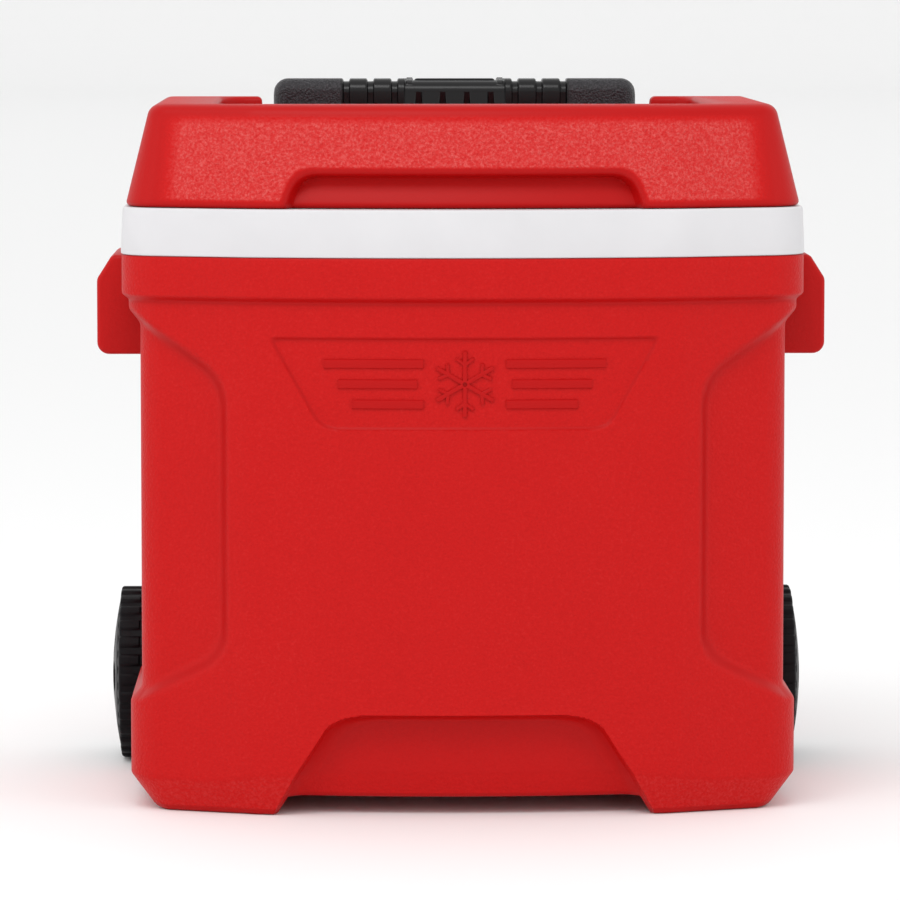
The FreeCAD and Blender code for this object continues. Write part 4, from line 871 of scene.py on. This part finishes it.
def rim_ring(inset, z):
    """One ring inside the lid's bottom rim, which follows the finger scoop."""
    places = steered(COLUMNS, scoop_half(LID_BOTTOM))
    x, y = along(PLAN, places, LID_INSET)
    sunk, _ = scoop(x, y, np.full(x.shape, LID_BOTTOM + 0.1))
    return plan_ring(inset + sunk, z, places)


def lid_rings():
    """Rings over the lid: the underside's recess, the bottom rim, the sides and the rounded top edge, with
    their texture amount, which paints the upturned front paler as painted sheen and its edges, front corners
    and scoop deeper as painted shade.
    """
    rings = [rim_ring(9.6, 361.0), rim_ring(8.2, LID_BOTTOM + 2), rim_ring(7.9, LID_BOTTOM)]
    grain_and_sheen = [np.zeros(len(COLUMNS))] * 3
    for z, inset in lid_profile():
        places = steered(COLUMNS, scoop_half(z))
        x, y = along(PLAN, places, LID_INSET)
        sunk, edge = scoop(x, y, np.full(x.shape, z))
        rings.append(plan_ring(inset + sunk, z, places))
        # The texture amount here paints the lid: the upturned front keeps the full amount and is painted
        # paler as painted sheen, the top face less; the rounded bottom and top edges, the front corners and
        # the scoop get less and are painted deeper as painted shade.
        bend = np.clip((np.abs(places) - FRONT_END + 14) / 16, 0, 1) * (np.abs(places) < SIDE_START)
        flat = ease((z - LID_BOTTOM - 2.5) / 3) * ease((LID_TOP - 5 - z) / 5) * (1 - 0.9 * ease(bend))
        if z > LID_TOP - 0.01:
            flat = 0.6
        grain_and_sheen.append(flat * (1 - np.clip(edge * 2, 0, 1)))
    return rings, np.array(grain_and_sheen)


def tray_cut(half_x, front, back, radius):
    """A rounded recess for the lid's top, with a rolled rim and a soft corner round its floor."""
    floor = [(TRAY_Z + 4 - 4 * math.cos(a), -6 + 4 * math.sin(a)) for a in np.linspace(0, 1.5, 6)]
    rim = [(LID_TOP - 3 + 3 * math.sin(a), 3 - 3 * math.cos(a)) for a in np.linspace(0, 1.45, 6)]
    profile = floor + rim + [(LID_TOP + 6, 3.2)]
    rings = block(half_x, front, back, radius, profile)
    # The tray's floor gets the full texture amount and its walls and rim little, so the walls and rim are
    # painted deeper: painted shade.
    grain_and_sheen = np.repeat([1] + [0.2] * (len(profile) - 1), BLOCK_POINTS)
    return skins("tray_cut", [(rings, False)], grain_and_sheen=grain_and_sheen)


rings, grain_and_sheen = lid_rings()
lid = skins("lid_cover", [(rings, False)], grain_and_sheen=grain_and_sheen)
carve(lid, tray_cut(142, -108, 84, 14), tray_cut(118.5, 40, 150, 8))
dress(lid, "lid", "red_plastic", ["lid_shell"])

PLATE_TOP = LID_BOTTOM + 2.7
PLUG_LOW = BAND_TOP - 10


def plug_rings():
    """Rings over the lid's liner: a plate inside the rim, then the plug that fits the tub."""
    rings = [rim_ring(8.8, PLATE_TOP), rim_ring(8.4, PLATE_TOP - 0.4)]
    rings += [rim_ring(8.4, LID_BOTTOM + 0.9), rim_ring(8.9, LID_BOTTOM + 0.4)]
    rings += [cavity_ring(1.8, LID_BOTTOM + 0.4), cavity_ring(1.8, PLUG_LOW + 4)]
    rings += [cavity_ring(5.8 - 4 * math.cos(a), PLUG_LOW + 4 - 4 * math.sin(a))
              for a in np.linspace(0.3, 1.57, 5)]
    rings += [cavity_ring(15, PLUG_LOW), cavity_ring(16.5, PLUG_LOW + 0.5)]
    rings += [cavity_ring(17.5, PLUG_LOW + 1.8), cavity_ring(19, PLUG_LOW + 2.2)]
    return rings


lid_plug = skins("lid_plug", [(plug_rings(), False)])
dress(lid_plug, "lid", "white_plastic", ["lid_liner"])

rings = [rim_ring(10.2, PLATE_TOP + 0.2), rim_ring(9.9, 354), rim_ring(10.2, 360.8)]
lid_core = skins("lid_core", [(rings, False)])
dress(lid_core, "lid", "foam", ["lid_foam"])

# ---------------------------------------------------------------- wheels

LUGS = 28
LUG_DEPTH = 1.4
TREAD_STEPS = 12
WINDOWS = 6
CAP_SEAT = 6


def dome(radius):
    """How far out from the wheel's inner face its domed outer face lies at a radius."""
    return WHEEL_WIDTH - radius ** 2 / (2 * DOME_RADIUS)


def tyre_rings(side):
    """The tyre's closed section, swept round: two staggered rows of lugs beside the dome's ribbed edge."""
    profile = [(1.6, 40), (1.0, 42), (0.9, 46), (1.6, 48.6), (3, 50.6), (4.6, 51.9), (6.4, WHEEL_RADIUS),
               (10, WHEEL_RADIUS), (17.6, WHEEL_RADIUS), (18.4, WHEEL_RADIUS), (22.8, WHEEL_RADIUS),
               (23.6, WHEEL_RADIUS), (29, WHEEL_RADIUS), (34, WHEEL_RADIUS), (35, 52.2), (35.5, 51.4),
               (35.7, 50), (35.8, 46.9), (dome(46.4), 46.4), (dome(45.8) - 0.1, 45.9), (dome(45), 45),
               (dome(43), 43), (dome(42.6), 42.6), (dome(41.5), 41.5), (dome(40.2), 40.2),
               (dome(40) - 0.6, 40)]
    count = LUGS * TREAD_STEPS
    turn = np.arange(count) / count
    rings = []
    for place, radius in profile:
        row = 0.0 if place < 20.6 else 0.5
        phase = (turn * LUGS + row) % 1.0
        lug = ease(phase / 0.12) * ease((0.66 - phase) / 0.12)
        depth = np.zeros(count)
        if 18 < place < 23.2:
            depth += 1.2
        elif radius > 47 and place > 2:
            depth = LUG_DEPTH * (1 - lug)
        r = np.maximum(radius - depth, min(radius, 46.6))
        ribs = 0.5 * (1 - lug) if 42.8 < radius < 45.5 and place > 30 else 0.0
        x = side * (WHEEL_INNER + place - ribs) * np.ones(count)
        angles = turn * 2 * math.pi
        rings.append(np.stack([x, WHEEL_Y + r * np.cos(angles), WHEEL_RADIUS + r * np.sin(angles)], axis=-1))
    return rings


def hub_rings(side):
    """The hub: a domed cover with a seat for the axle's cap, a rim flange and a boss behind."""
    profile = [(0, 4.2), (0, 10), (0.6, 11), (29.4, 12.2), (30.6, 12.8), (31, 14.4), (31, 33),
               (30.4, 34.6), (29, 35.4), (3, 37.2), (2, 37.8), (2, 39.8), (dome(39.8) - 0.7, 39.8),
               (dome(39.5) - 0.2, 39.5)]
    profile += [(dome(radius), radius) for radius in (39, 36, 34, 30, 25, 20, 15, 12, 10.8)]
    profile += [(dome(10) - 0.2, 10.1), (dome(10) - 0.8, 9.6)]
    profile += [(WHEEL_WIDTH - CAP_SEAT, 9.5), (WHEEL_WIDTH - CAP_SEAT, 4.2)]
    return turned((0, WHEEL_Y, WHEEL_RADIUS), [(side * (WHEEL_INNER + d), r) for d, r in profile])


def hub_windows(side):
    """Six rounded windows through the hub's web, with soft rims."""
    profile = [(29, 9.8), (31, 9.6), (31.6, 8.9), (32.6, 8.5), (37.2, 8.5), (38.6, 8.8), (39.8, 9.5),
               (42, 11.2)]
    cutters = []
    for index in range(WINDOWS):
        angle = math.radians(360 / WINDOWS * index)
        middle = (0, WHEEL_Y + 24.5 * math.cos(angle), WHEEL_RADIUS + 24.5 * math.sin(angle))
        rings = turned(middle, [(side * (WHEEL_INNER + d), r) for d, r in profile], segments=40)
        cutters.append(skins("hub_window", [(rings, False)], grain_and_sheen=0))
    return cutters


for side, name in ((1, "right"), (-1, "left")):
    tyre = skins(f"tyre_tread_{name}", [(tyre_rings(side), True)], crease=38)
    dress(tyre, f"wheel_{name}", "tyre", [f"tyre_{name}"])
    hub = carve(skins(f"hub_dish_{name}", [(hub_rings(side), True)]), *hub_windows(side))
    dress(hub, f"wheel_{name}", "black_plastic", [f"hub_{name}"])

# ---------------------------------------------------------------- tow grip

GRIP_SPLIT = GRIP_HIGH[1]
GRIP_DEPTH = (GRIP_SPLIT - GRIP_LOW[1]) * 2
GRIP_MIDDLE_Z = (GRIP_LOW[2] + GRIP_HIGH[2]) / 2
GRIP_HEIGHT = GRIP_HIGH[2] - GRIP_LOW[2]
GRIP_END = GRIP_HIGH[0]
GROOVES = 10
GROOVE_PITCH = 14.9
END_ROUNDING = 9
SECTION_STEPS = 36
CAP_HALF = 25


def groove(x):
    """How deep the finger grooves are at a place along the grip, from 0 to 1."""
    found = 0.0
    for index in range(GROOVES):
        centre = (index - (GROOVES - 1) / 2) * GROOVE_PITCH
        found = max(found, float(ease((2.4 - abs(x - centre)) / 0.9)))
    return found


def half_section(x, front):
    """Half of the grip's section at X: a rounded box, sunk at the grooves and under the button."""
    corner = 8.0
    end = max(abs(x) - (GRIP_END - END_ROUNDING), 0)
    shrink = END_ROUNDING - math.sqrt(max(END_ROUNDING ** 2 - end ** 2, 0))
    half_y = GRIP_DEPTH / 2 - shrink
    half_z = GRIP_HEIGHT / 2 - shrink
    reach = min(corner, half_y - 0.5, half_z - 0.5)
    points = [(0.08, half_z)] + arc((half_y - reach, half_z - reach), reach, 90, 0, SECTION_STEPS // 2)
    points += [(half_y, 0.0)]
    points += arc((half_y - reach, -half_z + reach), reach, 0, -90, SECTION_STEPS // 2) + [(0.08, -half_z)]
    ring = []
    sunk = groove(x)
    for out, up in points:
        share = out / max(half_y, 0.1)
        lift = up / max(half_z, 0.1)
        depth = 1.9 * sunk
        if abs(x) < 31:
            under_frame = float(ease((0.18 - lift) / 0.2))
            depth = depth * under_frame + 1.3 * float(ease((lift - 0.1) / 0.2)) * float(ease(share * 3))
        if 26 < abs(x) < 30 and lift > 0.8:
            depth -= 0.6
        length = max(math.hypot(share, lift), 0.2)
        y = out - depth * share / length if out > 0.1 else out
        z = up - depth * lift / length
        ring.append((x, GRIP_SPLIT + (-y if front else y), GRIP_MIDDLE_Z + z))
    return ring


def grip_half(name, front):
    """One moulded half of the tow grip, open where the button sits."""
    places = spaced(-GRIP_END, 0.4, -GRIP_END + 3, 1, -GRIP_END + 10, 2.5, -76, 0.62, 76, 2.5,
                    GRIP_END - 10, 1, GRIP_END - 3, 0.4, GRIP_END)
    rings = [half_section(float(x), front) for x in places]
    # The pebbled ends get the full texture amount and are painted grey: painted sheen.
    flat = [float(ease((abs(x) - 69) / 2)) for x in places]
    grain_and_sheen = np.repeat(flat, len(rings[0]))
    half = skins(name, [(rings, False)], grain_and_sheen=grain_and_sheen, crease=40)
    slot = block(CAP_HALF + 0.6, GRIP_SPLIT - 5.1, GRIP_SPLIT + 5.1, 1.2,
                 [(CAP_LOW[2] - 5, 0), (GRIP_HIGH[2] - 1, 0), (GRIP_HIGH[2] + 4, 1.5)])
    room = block(CAP_HIGH[0] + 0.6, GRIP_SPLIT - 3.2, GRIP_SPLIT + 3.2, 1,
                 [(CAP_LOW[2] - 5.01, 0), (CAP_LOW[2] + 6, 0)])
    cutters = [skins("button_room", [(hollow, False)], grain_and_sheen=0) for hollow in (slot, room)]
    return carve(half, *cutters, crease=40)


front_half = grip_half("grip_front_half", True)
dress(front_half, "handle_upper", "grip_plastic", ["grip_front"])
rear_half = grip_half("grip_rear_half", False)
dress(rear_half, "handle_upper", "grip_plastic", ["grip_rear"])

cap_profile = [(CAP_LOW[2] + 0.2, -0.5), (CAP_LOW[2] + 1, 0), (CAP_HIGH[2] - 1.6, 0),
               (CAP_HIGH[2] - 0.7, -0.3), (CAP_HIGH[2] - 0.2, -0.9), (CAP_HIGH[2], -1.8)]
bar_profile = [(CAP_LOW[2], -0.6), (CAP_LOW[2] + 0.6, 0), (CAP_LOW[2] + 3.8, 0), (CAP_LOW[2] + 4.4, -0.6)]
cap = block(CAP_HALF, GRIP_SPLIT - 4.4, GRIP_SPLIT + 4.4, 3, cap_profile)
bar = block(CAP_HIGH[0] - 0.2, GRIP_SPLIT - 2.3, GRIP_SPLIT + 2.3, 2, bar_profile)
button = skins("button_bar", [(cap, False), (bar, False)])
dress(button, "button", "black_plastic", ["grip_button"])

# ---------------------------------------------------------------- CAD nodes that stay


def both(*stems):
    """The names of parts that come as a left and a right one."""
    return [f"{stem}_{side}" for stem in stems for side in ("left", "right")]


STAYING = {
    "red_hinge": both("hinge_base", "hinge_leaf"),
    "steel": ["axle", "hinge_base_screws", "hinge_leaf_screws", "upper_bracket_screws",
              "lower_bracket_screws", "grip_screws"] + both("axle_washer", "hinge_pin", "button_spring",
                                                            "push_rod", "inner_lock_pin", "mid_lock_pin"),
    "tube_metal": ["axle_sleeve"] + both("inner_tube", "mid_tube", "outer_tube"),
}
for name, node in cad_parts.items():
    if node.hide_render:
        continue
    finish = next((slot for slot, names in STAYING.items() if name in names), "black_plastic")
    for holder in node.material_slots:
        holder.material = MATERIALS[finish]

# ---------------------------------------------------------------- studio

FLOOR_REACH = 20000
SWEEP_RADIUS = 1500
WALL_TOP = 12000


def studio_floor():
    """A pale floor that rises far behind the cooler in one sweep."""
    run = [(-FLOOR_REACH, 0), (FLOOR_REACH, 0)]
    run += [(FLOOR_REACH + SWEEP_RADIUS * math.sin(a), SWEEP_RADIUS - SWEEP_RADIUS * math.cos(a))
            for a in np.linspace(0.1, math.pi / 2, 14)]
    run += [(FLOOR_REACH + SWEEP_RADIUS, WALL_TOP)]
    mesh = bpy.data.meshes.new("studio_floor")
    points = [(x * MM, y * MM, z * MM) for y, z in run for x in (-FLOOR_REACH, FLOOR_REACH)]
    faces = [(2 * i, 2 * i + 1, 2 * i + 3, 2 * i + 2) for i in range(len(run) - 1)]
    mesh.from_pydata(points, [], faces)
    mesh.shade_smooth()
    floor = stand("studio_floor", mesh)
    nodes = Nodes("studio_floor")
    nodes.shader.inputs["Base Color"].default_value = (0.9, 0.9, 0.9, 1)
    nodes.shader.inputs["Roughness"].default_value = 0.7
    mesh.materials.append(nodes.material)


def lamp(name, size, power, place, target):
    """A soft rectangular light aimed at a point."""
    data = bpy.data.lights.new(name, "AREA")
    data.shape = "RECTANGLE"
    data.size, data.size_y = size
    data.energy = power
    light = stand(name, data)
    light.location = place
    aim = np.array(target, float) - np.array(place, float)
    heading = math.atan2(-aim[0], aim[1])
    pitch = math.atan2(math.hypot(aim[0], aim[1]), -aim[2])
    light.rotation_euler = (pitch, 0, heading)


studio_floor()
lamp("key", (1.6, 0.9), 20, (-0.5, -1.5, 2.3), (0, 0, 0.3))
lamp("left", (0.7, 1.6), 5, (-2.3, -1.2, 0.9), (0, 0, 0.2))
lamp("right", (0.7, 1.6), 4, (2.3, -1.2, 0.9), (0, 0, 0.2))

world = bpy.data.worlds.new("studio")
world.use_nodes = True
sky = world.node_tree.nodes["Background"]
sky.inputs["Color"].default_value = (1, 1, 1, 1)
sky.inputs["Strength"].default_value = 1.03
bpy.context.scene.world = world

lens = bpy.data.cameras.new("camera")
lens.sensor_width = 36
lens.lens = 206.6
lens.clip_start = 0.1
lens.clip_end = 50
camera = stand("camera", lens)
camera.location = (-0.0643, -3.0652, 0.4732)
camera.rotation_euler = (math.radians(90 - 5.137), 0, math.radians(-1.098))
bpy.context.scene.camera = camera
bpy.context.scene.view_settings.view_transform = "Standard"
